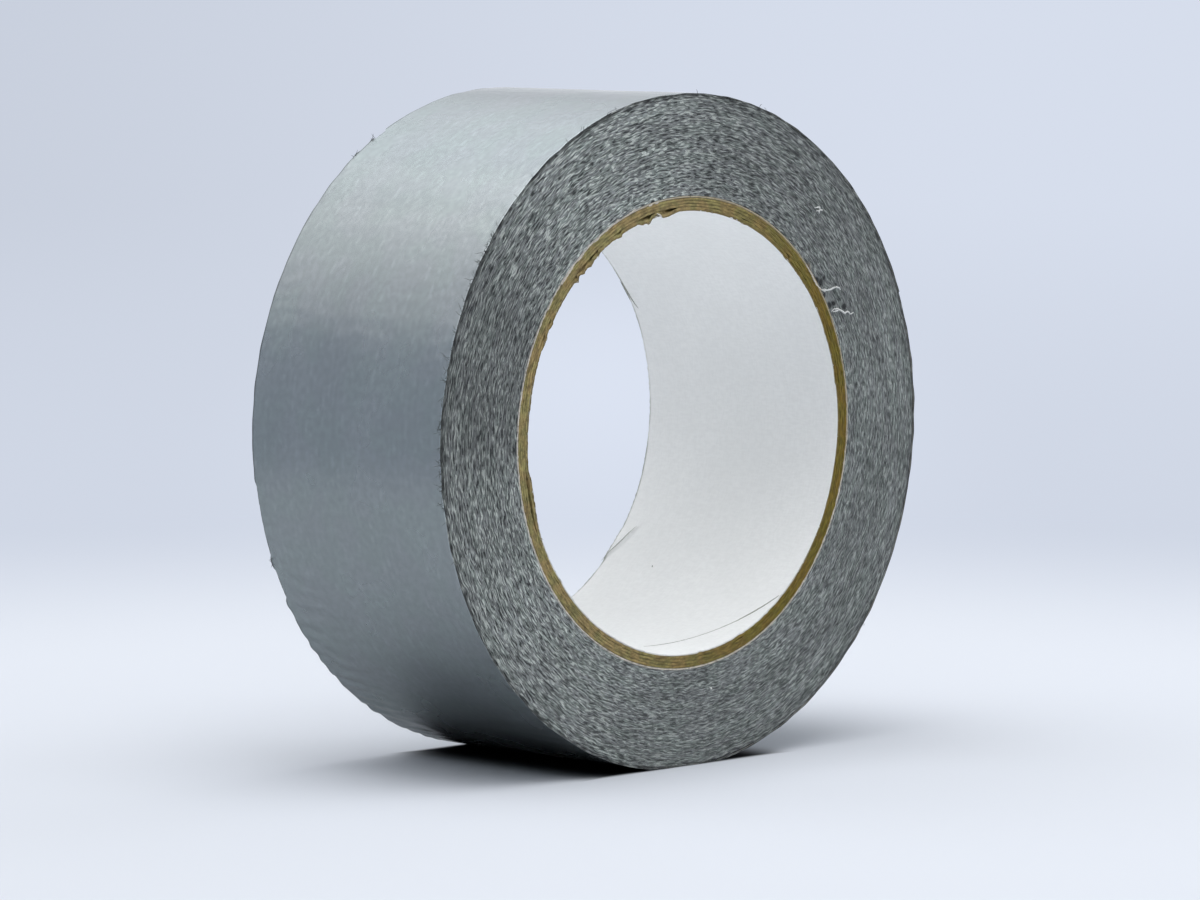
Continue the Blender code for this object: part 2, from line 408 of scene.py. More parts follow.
class Effects:
    """Node groups that more than one finish uses, each built once."""

    yarn_drift_scale: float = 180.0
    rib_patch_scale: float = 75.0
    rib_share: float = 0.3
    yarn_share: float = 0.7
    lean_scale: float = 330.0
    lean_depth: float = 0.7 * MM
    streak_stretch: float = 7.0
    wander_scale: float = 260.0
    wander_turns: float = 0.9
    drift_scale: float = 400.0
    drift_share: float = 1.2
    cut_scale: float = 600.0
    pale_cuts: tuple[float, float] = (0.595, 0.67)
    dark_cuts: tuple[float, float] = (0.32, 0.40)
    streak_scale: float = 800.0

    def __init__(self, winding: Winding) -> None:
        """Builds the groups for the given winding."""
        self.winding = winding
        self.mottle = self.build_mottle()
        self.weave = self.build_weave()
        self.fibres = self.build_fibres()
        self.slit = self.build_slit()

    @staticmethod
    def new_group(name: str, inputs: list[str], outputs: list[str]) -> tuple[Graph, dict, dict]:
        """A new group with number sockets, or vector sockets for names that start with Place.

        Args:
            name: name of the group.
            inputs: names of its inputs.
            outputs: names of its outputs.

        Returns:
            The group's graph, the sockets that bring its inputs, and the sockets for its outputs.
        """
        tree = bpy.data.node_groups.new(name, "ShaderNodeTree")
        for way, names in (("INPUT", inputs), ("OUTPUT", outputs)):
            for socket in names:
                kind = "NodeSocketVector" if socket.startswith("Place") else "NodeSocketFloat"
                tree.interface.new_socket(name=socket, in_out=way, socket_type=kind)
        graph = Graph(tree)
        return graph, graph.add("NodeGroupInput").outputs, graph.add("NodeGroupOutput").inputs

    def build_mottle(self) -> bpy.types.NodeTree:
        """Uneven tone in clouds, specks and patches of hue, each about 0.5."""
        names = ["Cloud", "Speck", "Hue"]
        graph, given, taken = self.new_group("mottle", ["Place", "Clouds", "Specks"], names)
        graph.feed(taken["Cloud"], graph.noise(given["Place"], given["Clouds"], detail=3))
        graph.feed(taken["Speck"], graph.noise(given["Place"], given["Specks"], detail=1))
        graph.feed(taken["Hue"], graph.noise(given["Place"], graph.product(given["Clouds"], 1.7), detail=1))
        return graph.tree

    def build_weave(self) -> bpy.types.NodeTree:
        """Cloth under the film: ribs over cross threads and short ridges over lengthwise yarns."""
        winding = self.winding
        graph, given, taken = self.new_group("weave", ["Place"], ["Height", "Rib", "Yarn"])
        along, across, _ = graph.separate(given["Place"])
        drift = graph.off_middle(graph.noise(given["Place"], self.yarn_drift_scale, detail=1))
        rib_phase = graph.total(graph.product(along, 1 / winding.weft_pitch), graph.product(drift, 0.9))
        rib = graph.rise(graph.math("PINGPONG", rib_phase, 0.5), 0.1, 0.5)
        patch = graph.rise(graph.noise(given["Place"], self.rib_patch_scale, detail=1), 0.4, 0.62)
        rib = graph.product(rib, patch)

        row = graph.total(graph.product(across, 1 / winding.warp_pitch), graph.product(drift, 0.8))
        number = graph.math("FLOOR", row)
        step = graph.total(rib_phase, graph.product(number, 0.5))
        _, power, _ = graph.chances(number, graph.math("FLOOR", step), 3.0)
        beside = graph.math("ABSOLUTE", graph.off_middle(graph.math("FRACT", row)))
        beyond = graph.math("ABSOLUTE", graph.off_middle(graph.math("FRACT", step)))
        narrow = graph.rise(beside, 0.1, 0.45, 1.0, 0.0)
        ridge = graph.product(narrow, graph.rise(beyond, 0.15, 0.48, 1.0, 0.0))
        yarn = graph.product(ridge, graph.rise(power, 0.25, 1.0, 0.05, 1.0))
        height = graph.total(graph.product(rib, self.rib_share), graph.product(yarn, self.yarn_share))
        graph.feed(taken["Height"], height)
        graph.feed(taken["Rib"], rib)
        graph.feed(taken["Yarn"], yarn)
        return graph.tree

    def build_fibres(self) -> bpy.types.NodeTree:
        """Paper fibres: fine streaks in two directions, as a height and a tone from 0 to 1."""
        graph, given, taken = self.new_group("paper_fibres", ["Place", "Scale"], ["Height", "Tone"])
        scale = graph.combine(given["Scale"], given["Scale"], given["Scale"])
        place = graph.stretch(given["Place"], scale)
        first = graph.noise(graph.stretch(place, (1.0, 0.25, 1.0)), 1.0, detail=3)
        second = graph.noise(graph.stretch(place, (0.3, 1.0, 0.3)), 1.0, detail=3)
        graph.feed(taken["Height"], graph.product(graph.total(first, second), 0.5))
        graph.feed(taken["Tone"], graph.noise(place, 0.22, detail=4))
        return graph.tree

    def strands(self, graph: Graph, turns: Socket, turn_angle: Socket, drift: Socket, seed: float) -> Socket:
        """Cut thread ends on the wound turns, each with its own length, place, tilt and strength.

        Args:
            graph: the graph that the nodes go into.
            turns: place across the turns, one for each row of strands.
            turn_angle: angle from the free edge.
            drift: unevenness of the thread spacing.
            seed: a number that keeps one set of strands unlike another.

        Returns:
            A mask from 0 to 1.
        """
        winding = self.winding
        layer = graph.math("FLOOR", turns)
        within = graph.math("FRACT", turns)
        wound = graph.total(graph.product(layer, TURN), turn_angle)
        growth = graph.product(wound, wound, winding.strand_pitch / (2 * TURN))
        length = graph.total(graph.product(wound, winding.seat_radius), growth)
        phase = graph.total(graph.product(length, 1 / winding.weft_pitch), drift, 0.37 * seed)
        place, reach, tilt = graph.chances(layer, graph.math("FLOOR", phase), seed)
        shift = graph.product(graph.off_middle(place), 0.4)
        from_middle = graph.math("SUBTRACT", graph.off_middle(graph.math("FRACT", phase)), shift)
        usual = winding.strand_length / winding.weft_pitch / 2
        half_length = graph.total(graph.product(reach, usual), usual * 0.6)
        along = graph.math("DIVIDE", graph.math("ABSOLUTE", from_middle), half_length)
        lean = graph.product(from_middle, graph.off_middle(tilt), 1.8)
        across = graph.math("ABSOLUTE", graph.math("SUBTRACT", graph.off_middle(within), lean))
        strength = graph.rise(graph.math("FRACT", graph.product(reach, 7.0)), 0.0, 1.0, 0.3, 1.0)
        narrow = graph.rise(across, 0.10, 0.25, 1.0, 0.0)
        thread = graph.product(graph.rise(along, 0.6, 1.0, 1.0, 0.0), narrow)
        return graph.product(thread, strength)

    def build_slit(self) -> bpy.types.NodeTree:
        """Slit edges of the wound turns: pale thread ends that also carry painted highlights, dark gaps
        beside them that also carry painted shadow, and streaks.
        """
        winding = self.winding
        names = ["Pale", "Dark", "Streak", "Radius", "Place Streak", "Place Way"]
        graph, given, taken = self.new_group("slit_turns", ["Place"], names)
        x, _, z = graph.separate(given["Place"])
        up = graph.math("SUBTRACT", z, winding.axis_height)
        radius = graph.math("SQRT", graph.total(graph.product(x, x), graph.product(up, up)))
        angle = graph.math("ARCTAN2", up, x)
        turn_angle = graph.math("FLOORED_MODULO", graph.math("SUBTRACT", winding.free_edge, angle), TURN)
        beside = graph.product(graph.math("COSINE", turn_angle), winding.pack_radius)
        above = graph.product(graph.math("SINE", turn_angle), winding.pack_radius)
        lean = graph.noise(graph.combine(beside, above, radius), self.lean_scale, detail=1)
        lean = graph.off_middle(lean)
        leaning = graph.total(radius, graph.product(lean, self.lean_depth))
        streak = graph.combine(beside, above, graph.product(leaning, self.streak_stretch))
        wander = graph.off_middle(graph.noise(streak, self.wander_scale, detail=1))
        wander = graph.product(wander, self.wander_turns)
        drift = graph.off_middle(graph.noise(streak, self.drift_scale, detail=1))
        drift = graph.product(drift, self.drift_share)
        from_seat = graph.math("SUBTRACT", radius, winding.seat_radius)
        from_seat = graph.product(from_seat, 1 / winding.strand_pitch)
        turns = graph.total(from_seat, graph.product(turn_angle, -1 / TURN), wander)
        half = graph.total(turns, 0.5)
        # The pale strokes are thread ends with painted highlights on their relief; the dark strokes are gaps
        # with painted shadow beside the threads.
        threads = graph.product(self.strands(graph, turns, turn_angle, drift, 1.0), 0.5)
        gaps = graph.product(self.strands(graph, half, turn_angle, drift, 2.0), 0.5)
        cuts = graph.noise(streak, self.cut_scale, detail=0)
        graph.feed(taken["Pale"], graph.math("MAXIMUM", threads, graph.rise(cuts, *self.pale_cuts)))
        graph.feed(taken["Dark"], graph.math("MAXIMUM", gaps, graph.rise(cuts, *self.dark_cuts, 1.0, 0.0)))
        graph.feed(taken["Streak"], graph.noise(streak, self.streak_scale, detail=2))
        graph.feed(taken["Radius"], radius)
        graph.feed(taken["Place Streak"], streak)
        way = graph.combine(graph.math("DIVIDE", x, radius), 0.0, graph.math("DIVIDE", up, radius))
        graph.feed(taken["Place Way"], way)
        return graph.tree


@dataclass(frozen=True)
class Finish:
    """A surface finish, with the values that are the same all over it."""

    name: str
    colour: Colour
    roughness: float
    metallic: float = 0.0
    specular: float = 0.5

    def start(self) -> tuple[bpy.types.Material, Graph, bpy.types.NodeInputs]:
        """A new material with its plain values set.

        Returns:
            The material, its graph and the inputs of its shader.
        """
        material = bpy.data.materials.new(self.name)
        material.use_nodes = True
        inputs = material.node_tree.nodes["Principled BSDF"].inputs
        inputs["Base Color"].default_value = (*self.colour, 1)
        inputs["Roughness"].default_value = self.roughness
        inputs["Metallic"].default_value = self.metallic
        inputs["Specular IOR Level"].default_value = self.specular
        return material, Graph(material.node_tree), inputs

    def shade(self, factor: float) -> tuple[float, float, float, float]:
        """The finish's colour, lighter or darker by a factor."""
        return (*(channel * factor for channel in self.colour), 1)


@dataclass(frozen=True)
class FilmFinish(Finish):
    """Satin silver film over woven cloth, on the face of the tape."""

    cool_tint: Colour = (1.006, 0.997, 1.008)
    green_tint: Colour = (0.984, 1.008, 0.99)
    edge_tint: float = 0.5
    cloud_scale: float = 70.0
    cloud_tones: tuple[float, float] = (0.88, 1.12)
    yarn_share: float = 0.18
    yarn_tone: float = 1.5
    speck_scale: float = 800.0
    speck_share: float = 0.55
    speck_tone: float = 0.85
    gloss_spread: tuple[float, float] = (-0.03, 0.04)
    bump_depth: float = 0.004 * MM
    rim_reach: float = 0.4 * MM
    # Painted highlight on the front edge and painted shade on the back edge, as factors on the tone.
    front_edge_highlight: float = 1.35
    back_edge_shade: float = 0.4

    def material(self, effects: Effects) -> bpy.types.Material:
        """Builds the film: silver tone in clouds, ridges of the cloth, a painted highlight along its front
        edge, painted shade along its back edge, and a satin gloss.
        """
        material, graph, inputs = self.start()
        inputs["Specular Tint"].default_value = (self.edge_tint, self.edge_tint, self.edge_tint, 1)
        place = graph.add("ShaderNodeAttribute", attribute_name="tape_place").outputs["Vector"]
        scales = {"Clouds": self.cloud_scale, "Specks": self.speck_scale}
        mottle = graph.group(effects.mottle, Place=place, **scales)
        weave = graph.group(effects.weave, Place=place)
        tone = graph.mix(mottle["Cloud"], *map(self.shade, self.cloud_tones))
        hue = graph.mix(graph.rise(mottle["Hue"], 0.4, 0.6), (*self.green_tint, 1), (*self.cool_tint, 1))
        tone = graph.mix(1.0, tone, hue, "MULTIPLY")
        yarn = graph.product(weave["Yarn"], self.yarn_share)
        tone = graph.mix(yarn, tone, self.shade(self.yarn_tone))
        speck = graph.rise(mottle["Speck"], 0.3, 0.7, self.speck_share, 0.0)
        tone = graph.mix(speck, tone, self.shade(self.speck_tone))
        # Painted highlight: lighter along the front edge; painted shade: darker along the back edge.
        across = graph.separate(place)[1]
        half = effects.winding.half_width
        front = graph.rise(across, -half, self.rim_reach - half, self.front_edge_highlight, 1.0)
        back = graph.rise(across, half - self.rim_reach, half, 1.0, self.back_edge_shade)
        tone = graph.dim(tone, graph.product(front, back))
        graph.feed(inputs["Base Color"], tone)
        smooth, dull = (self.roughness + change for change in self.gloss_spread)
        gloss = graph.rise(mottle["Cloud"], 0.25, 0.75, smooth, dull)
        graph.feed(inputs["Roughness"], gloss)
        relief = graph.total(weave["Height"], graph.product(mottle["Speck"], 0.4))
        graph.feed(inputs["Normal"], graph.bump(relief, self.bump_depth))
        return material


@dataclass(frozen=True)
class Mark:
    """A small spot on the front slit face, at an angle in degrees and a radius."""

    angle: float
    radius: float
    reach: float
    strength: float
    colour: Colour


@dataclass(frozen=True)
class SlitFinish(Finish):
    """Slit edges of the tape: cut pale threads, grey film edges and dark adhesive between, with painted
    highlights and painted shadow on their relief, a painted sheen and painted shade along the rim.
    """

    # Pale colour of the thread ends with their painted highlights; dark colour of the gaps with their painted
    # shadow.
    pale_colour: Colour = (0.485, 0.52, 0.49)
    dark_colour: Colour = (0.012, 0.015, 0.014)
    # Painted sheen by place round the roll: angle, reach and strength.
    sheens: tuple[tuple[float, float, float], ...] = (
        (120.0, 36.0, 0.40),
        (222.0, 50.0, 0.20),
        (158.0, 34.0, -0.27),
        (188.0, 22.0, -0.07),
        (40.0, 46.0, -0.14),
        (340.0, 40.0, -0.07),
        (12.0, 14.0, 0.12),
        (222.0, 14.0, 0.06),
    )
    streak_tones: tuple[float, float] = (0.55, 1.35)
    cloud_scale: float = 60.0
    cloud_tones: tuple[float, float] = (0.86, 1.14)
    speck_scale: float = 1500.0
    inner_tone: float = 1.18
    inner_reach: float = 2 * MM
    outer_tone: float = 0.92
    outer_reach: float = 3 * MM
    # Painted shade along the outer rim of the face.
    rim_shade: float = 0.75
    rim_reach: float = 0.5 * MM
    # Painted light: the strokes show stronger towards the upper left, where light grazes them.
    crisp_way: Colour = (-0.866, 0.0, 0.5)
    crispness: tuple[float, float] = (0.72, 1.1)
    green_tint: Colour = (0.975, 1.012, 0.99)
    cool_tint: Colour = (1.01, 0.993, 1.025)
    # A brown stain, a grey spot, and dark spots of painted shade in the pockets by the puckers and in small
    # gaps by the core.
    marks: tuple[Mark, ...] = (
        Mark(42.0, 41.0 * MM, 1.3 * MM, 0.75, (0.13, 0.085, 0.04)),
        Mark(30.9, 42.2 * MM, 1.6 * MM, 0.9, (0.22, 0.235, 0.23)),
        Mark(37.4, 41.2 * MM, 0.9 * MM, 1.9, PAINTED_POCKET_SHADE),
        Mark(35.8, 41.9 * MM, 1.1 * MM, 1.9, PAINTED_POCKET_SHADE),
        Mark(36.0, 43.0 * MM, 0.8 * MM, 1.5, PAINTED_POCKET_SHADE),
        Mark(32.6, 41.3 * MM, 0.7 * MM, 1.9, PAINTED_POCKET_SHADE),
        Mark(29.5, 41.6 * MM, 0.9 * MM, 1.9, PAINTED_POCKET_SHADE),
        Mark(29.1, 42.6 * MM, 0.7 * MM, 1.8, PAINTED_POCKET_SHADE),
        Mark(26.7, 44.6 * MM, 0.9 * MM, 1.8, PAINTED_POCKET_SHADE),
        Mark(105.4, 41.0 * MM, 0.5 * MM, 0.9, PAINTED_POCKET_SHADE),
        Mark(101.9, 41.0 * MM, 0.6 * MM, 0.9, PAINTED_POCKET_SHADE),
        Mark(99.2, 41.0 * MM, 0.5 * MM, 0.9, PAINTED_POCKET_SHADE),
    )
    bump_depth: float = 0.10 * MM

    def sheen(self, graph: Graph, way: Socket) -> Socket:
        """Painted sheen: the colour made lighter or darker by its place round the roll, for how much more or
        less light the cut threads give back there.
        """
        parts = [1.0]
        for angle, reach, strength in self.sheens:
            middle = (math.cos(math.radians(angle)), 0.0, math.sin(math.radians(angle)))
            edge = math.cos(math.radians(reach))
            parts.append(graph.rise(graph.dot(way, middle), edge, 1.0, 0.0, strength))
        return graph.total(*parts)

    def material(self, effects: Effects) -> bpy.types.Material:
        """Builds the slit face from the turns and the threads in them, with its spots: a stain, a grey spot
        and painted shade in pockets.
        """
        winding = effects.winding
        material, graph, inputs = self.start()
        place = graph.add("ShaderNodeTexCoord").outputs["Object"]
        slit = graph.group(effects.slit, Place=place)
        scales = {"Clouds": self.cloud_scale, "Specks": self.speck_scale}
        mottle = graph.group(effects.mottle, Place=slit["Place Streak"], **scales)
        streak = graph.rise(slit["Streak"], 0.36, 0.64)
        base = graph.mix(streak, *map(self.shade, self.streak_tones))
        hue = graph.mix(graph.rise(mottle["Hue"], 0.4, 0.6), (*self.green_tint, 1), (*self.cool_tint, 1))
        base = graph.mix(1.0, base, hue, "MULTIPLY")
        # Painted light and shade: dark gaps with painted shadow and pale thread ends with painted highlights,
        # both stronger towards the upper left.
        crisp = graph.rise(graph.dot(slit["Place Way"], self.crisp_way), -0.6, 0.8, *self.crispness)
        dark = graph.product(slit["Dark"], graph.rise(mottle["Speck"], 0.25, 0.55, 0.6, 1.0), crisp)
        pale = graph.product(slit["Pale"], graph.rise(mottle["Speck"], 0.35, 0.6, 0.4, 0.95), crisp)
        base = graph.mix(dark, base, (*self.dark_colour, 1))
        base = graph.mix(pale, base, (*self.pale_colour, 1))
        radius, seat, tread = slit["Radius"], winding.seat_radius, winding.pack_radius
        inner = graph.rise(radius, seat, seat + self.inner_reach, self.inner_tone, 1.0)
        outer = graph.rise(radius, tread - self.outer_reach, tread, 1.0, self.outer_tone)
        # Painted shade along the outer rim of the face, made patchy by noise.
        rim = graph.rise(radius, tread - self.rim_reach, tread)
        worn = graph.rise(graph.noise(place, 450, detail=1), 0.38, 0.62, 0.15, 1.0)
        rim = graph.math("SUBTRACT", 1.0, graph.product(rim, worn, self.rim_shade))
        cloud = graph.rise(mottle["Cloud"], 0.3, 0.7, *self.cloud_tones)
        # The tone takes the painted sheen and the painted rim shade here.
        base = graph.dim(base, graph.product(inner, outer, rim, cloud, self.sheen(graph, slit["Place Way"])))
        # Spots: a stain, a grey spot, and painted shade in pockets and gaps.
        for mark in self.marks:
            middle = winding.around(math.radians(mark.angle), mark.radius, -winding.half_width)
            spot = graph.rise(graph.distance(place, Vector(middle)), 0.0, mark.reach, mark.strength, 0.0)
            base = graph.mix(spot, base, (*mark.colour, 1))
        graph.feed(inputs["Base Color"], base)
        height = graph.total(pale, graph.product(dark, -0.8), graph.product(slit["Streak"], 0.8))
        graph.feed(inputs["Normal"], graph.bump(height, self.bump_depth))
        return material


@dataclass(frozen=True)
class PaperFinish(Finish):
    """Paper or board, with fibres and uneven tone."""

    fibre_scale: float = 2600.0
    cloud_scale: float = 90.0
    speck_scale: float = 1300.0
    streak_share: float = 0.8
    contrast: float = 0.15
    fleck_colour: Colour = (0.07, 0.045, 0.015)
    flecks: float = 0.0
    bump_depth: float = 0.05 * MM

    def worn(self, graph: Graph, place: Socket, tone: Socket, effects: Effects) -> Socket:
        """The paper's tone with its wear and painted shade: none on a plain paper."""
        return tone

    def material(self, effects: Effects) -> bpy.types.Material:
        """Builds the paper from fibres, clouds of tone, flecks and wear."""
        material, graph, inputs = self.start()
        place = graph.add("ShaderNodeTexCoord").outputs["Object"]
        fibres = graph.group(effects.fibres, Place=place, Scale=self.fibre_scale)
        scales = {"Clouds": self.cloud_scale, "Specks": self.speck_scale}
        mottle = graph.group(effects.mottle, Place=place, **scales)
        tone = graph.mix(mottle["Cloud"], self.shade(1 - self.contrast), self.shade(1 + self.contrast))
        streaks = graph.rise(fibres["Height"], 0.35, 0.65, 0.0, self.streak_share)
        tone = graph.mix(streaks, tone, self.shade(1 - 2 * self.contrast))
        flecks = graph.rise(mottle["Speck"], 0.28, 0.42, self.flecks, 0.0)
        tone = graph.mix(flecks, tone, (*self.fleck_colour, 1))
        graph.feed(inputs["Base Color"], self.worn(graph, place, tone, effects))
        graph.feed(inputs["Normal"], graph.bump(fibres["Height"], self.bump_depth))
        return material


@dataclass(frozen=True)
class LinerFinish(PaperFinish):
    """White liner paper with painted shade along the cut edge at the back, and brown on its front end."""

    edge_shade_colour: Colour = (0.30, 0.315, 0.28)
    edge_reach: float = 0.45 * MM
    end_colour: Colour = (0.20, 0.150, 0.048)
    end_reach: float = 0.08 * MM
    end_start: float = 0.02 * MM
    less_brown_way: Colour = (-0.17, 0.0, -0.98)
    less_brown_share: float = 0.2
    patch_scale: float = 140.0
    patch_shares: tuple[float, float] = (0.35, 1.0)

    def worn(self, graph: Graph, place: Socket, tone: Socket, effects: Effects) -> Socket:
        """The paper's tone with painted shade along the back edge that comes and goes, and a brown front end.
        """
        half = effects.winding.half_width
        depth = graph.separate(place)[1]
        # Painted shade along the back edge, in patches.
        near = graph.rise(depth, half - self.edge_reach, half)
        patch = graph.noise(place, self.patch_scale, detail=2)
        patch = graph.rise(patch, 0.35, 0.6, *self.patch_shares)
        tone = graph.mix(graph.product(near, patch), tone, (*self.edge_shade_colour, 1))
        # The front end is brown, less so towards the bottom.
        end = graph.rise(depth, self.end_start - half, self.end_reach - half, 1.0, 0.0)
        way = graph.group(effects.slit, Place=place)["Place Way"]
        brown = graph.rise(graph.dot(way, self.less_brown_way), 0.35, 0.8, 1.0, self.less_brown_share)
        return graph.mix(graph.product(end, brown), tone, (*self.end_colour, 1))


@dataclass(frozen=True)
class BoardFinish(PaperFinish):
    """Brown core board, darker and yellower on its right side, streaked along its plies."""

    dark_colour: Colour = (0.165, 0.117, 0.0145)
    dark_way: Colour = (0.974, 0.0, -0.225)
    streak_scale: float = 420.0
    streak_tones: tuple[float, float] = (0.75, 1.25)
    hue_scale: float = 330.0
    olive_tint: Colour = (0.95, 1.03, 0.95)
    red_tint: Colour = (1.05, 0.98, 0.98)

    def worn(self, graph: Graph, place: Socket, tone: Socket, effects: Effects) -> Socket:
        """The board's tone, darker low on the right, with streaks and patches of hue."""
        slit = graph.group(effects.slit, Place=place)
        dark = graph.rise(graph.dot(slit["Place Way"], self.dark_way), -0.35, 0.85)
        tone = graph.mix(dark, tone, (*self.dark_colour, 1))
        streak = graph.noise(slit["Place Streak"], self.streak_scale, detail=2)
        tone = graph.dim(tone, graph.rise(streak, 0.36, 0.64, *self.streak_tones))
        patch = graph.rise(graph.noise(place, self.hue_scale, detail=1), 0.4, 0.6)
        hue = graph.mix(patch, (*self.olive_tint, 1), (*self.red_tint, 1))
        return graph.mix(1.0, tone, hue, "MULTIPLY")


@dataclass(frozen=True)
class WrapFinish(PaperFinish):
    """Pale wrap paper, browner on the upper right."""

    brown_side_colour: Colour = (0.40, 0.33, 0.20)
    brown_side_way: Colour = (0.64, 0.0, 0.77)
    brown_side_share: float = 0.75

    def worn(self, graph: Graph, place: Socket, tone: Socket, effects: Effects) -> Socket:
        """The wrap's tone, browner towards the upper right."""
        slit = graph.group(effects.slit, Place=place)
        towards = graph.dot(slit["Place Way"], self.brown_side_way)
        brown_side = graph.rise(towards, 0.3, 0.9, 0.0, self.brown_side_share)
        return graph.mix(brown_side, tone, (*self.brown_side_colour, 1))


@dataclass(frozen=True)
class AdhesiveFinish(Finish):
    """Sticky underside of the tape, with the cloth's grid in it."""

    cloud_scale: float = 120.0
    cloud_tones: tuple[float, float] = (0.85, 1.15)
    speck_scale: float = 1200.0
    grid_share: float = 0.5
    grid_tone: float = 1.5
    bump_depth: float = 0.06 * MM

    def material(self, effects: Effects) -> bpy.types.Material:
        """Builds the underside from the cloth's grid and a tacky gloss."""
        material, graph, inputs = self.start()
        place = graph.add("ShaderNodeAttribute", attribute_name="tape_place").outputs["Vector"]
        weave = graph.group(effects.weave, Place=place)
        scales = {"Clouds": self.cloud_scale, "Specks": self.speck_scale}
        mottle = graph.group(effects.mottle, Place=place, **scales)
        tone = graph.mix(mottle["Cloud"], *map(self.shade, self.cloud_tones))
        grid = graph.product(weave["Height"], self.grid_share)
        tone = graph.mix(grid, tone, self.shade(self.grid_tone))
        graph.feed(inputs["Base Color"], tone)
        graph.feed(inputs["Normal"], graph.bump(weave["Height"], self.bump_depth))
        return material


class Finishes:
    """Every material of the roll, by the part of it that takes it."""

    def __init__(self, effects: Effects) -> None:
        """Builds the materials with the shared effects."""
        film = FilmFinish("silver_film", (0.265, 0.295, 0.302), 0.25, metallic=0.88)
        slit = SlitFinish("slit_edges", (0.160, 0.177, 0.169), 0.62)
        adhesive = AdhesiveFinish("adhesive_side", (0.36, 0.35, 0.31), 0.3)
        liner = LinerFinish("white_liner", (0.935, 0.942, 0.93), 0.75, contrast=0.035)
        board = BoardFinish("brown_board", (0.34, 0.272, 0.114), 0.9, contrast=0.2, flecks=0.35)
        wrap = WrapFinish("pale_wrap", (0.80, 0.74, 0.65), 0.9, contrast=0.2, flecks=0.4)
        # Grey of torn liner edges, also used for the painted shade lines of the crease and the seam.
        torn = PaperFinish("torn_paper_and_painted_shade", (0.33, 0.34, 0.29), 0.9, contrast=0.1)
        thread = PaperFinish("pale_thread", (0.80, 0.81, 0.79), 0.6, contrast=0.1)
        hair = PaperFinish("grey_hair", (0.075, 0.085, 0.075), 0.6, contrast=0.2)
        scrap = PaperFinish("pale_scrap", (0.78, 0.73, 0.66), 0.9, contrast=0.1)
        self.film = film.material(effects)
        self.slit = slit.material(effects)
        self.adhesive = adhesive.material(effects)
        self.thread = thread.material(effects)
        self.hair = hair.material(effects)
        self.scrap = scrap.material(effects)
        self.torn = torn.material(effects)
        self.papers = {
            Paper.LINER: liner.material(effects),
            Paper.BOARD: board.material(effects),
            Paper.WRAP: wrap.material(effects),
        }


def add_piece(
    name: str, mesh: bpy.types.Mesh, slot: str, *nodes: str, body: str | None = "roll"
) -> bpy.types.Object:
    """Links a mesh as a piece of the roll and reports it.

    Args:
        name: name of the piece.
        mesh: its mesh, in the row frame.
        slot: the record's material slot of the piece; not used.
        nodes: the nodes that it stands for.
        body: the body that it rides on, or None for a piece that bends between two.

    Returns:
        The new object.
    """
    piece = bpy.data.objects.new(name, mesh)
    bpy.context.scene.collection.objects.link(piece)
    if body is not None:
        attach(piece, body)
    if nodes:
        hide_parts(*nodes)
    LOG.info("%s: %d faces on %s", name, len(mesh.polygons), body or "two bodies")
    return piece


@dataclass
class Sweep:
    """A closed skin through stations, each with one closed loop of points round its section."""

    loops: np.ndarray
    closed: bool
    material_of: list[int]
    places: np.ndarray | None = None
    sharp_angle: float = math.radians(50)

    def mesh(self, name: str, materials: list[bpy.types.Material]) -> bpy.types.Mesh:
        """Makes the mesh.

        Args:
            name: name of the mesh.
            materials: the materials that the segments of a loop name by number.

        Returns:
            The mesh, smooth but for its sharp edges.
        """
        stations, around = self.loops.shape[:2]
        index = np.arange(stations * around).reshape(stations, around)
        first = index if self.closed else index[:-1]
        second = np.roll(index, -1, axis=0)[: len(first)]
        quads = np.stack([first, second, np.roll(second, -1, axis=1), np.roll(first, -1, axis=1)], axis=-1)
        faces = quads.reshape(-1, 4).tolist()
        numbers = self.material_of * len(first)
        if not self.closed:
            faces += [index[0].tolist(), index[-1][::-1].tolist()]
            numbers = numbers + [self.material_of[-1]] * 2
        mesh = bpy.data.meshes.new(name)
        mesh.from_pydata(self.loops.reshape(-1, 3).tolist(), [], faces)
        for material in materials:
            mesh.materials.append(material)
        mesh.polygons.foreach_set("material_index", np.array(numbers, dtype=np.int32))
        if self.places is not None:
            places = mesh.attributes.new("tape_place", "FLOAT_VECTOR", "POINT")
            places.data.foreach_set("vector", self.places.astype(np.float32).ravel())
        mesh.shade_smooth()
        mesh.set_sharp_from_angle(angle=self.sharp_angle)
        mesh.update()
        return mesh


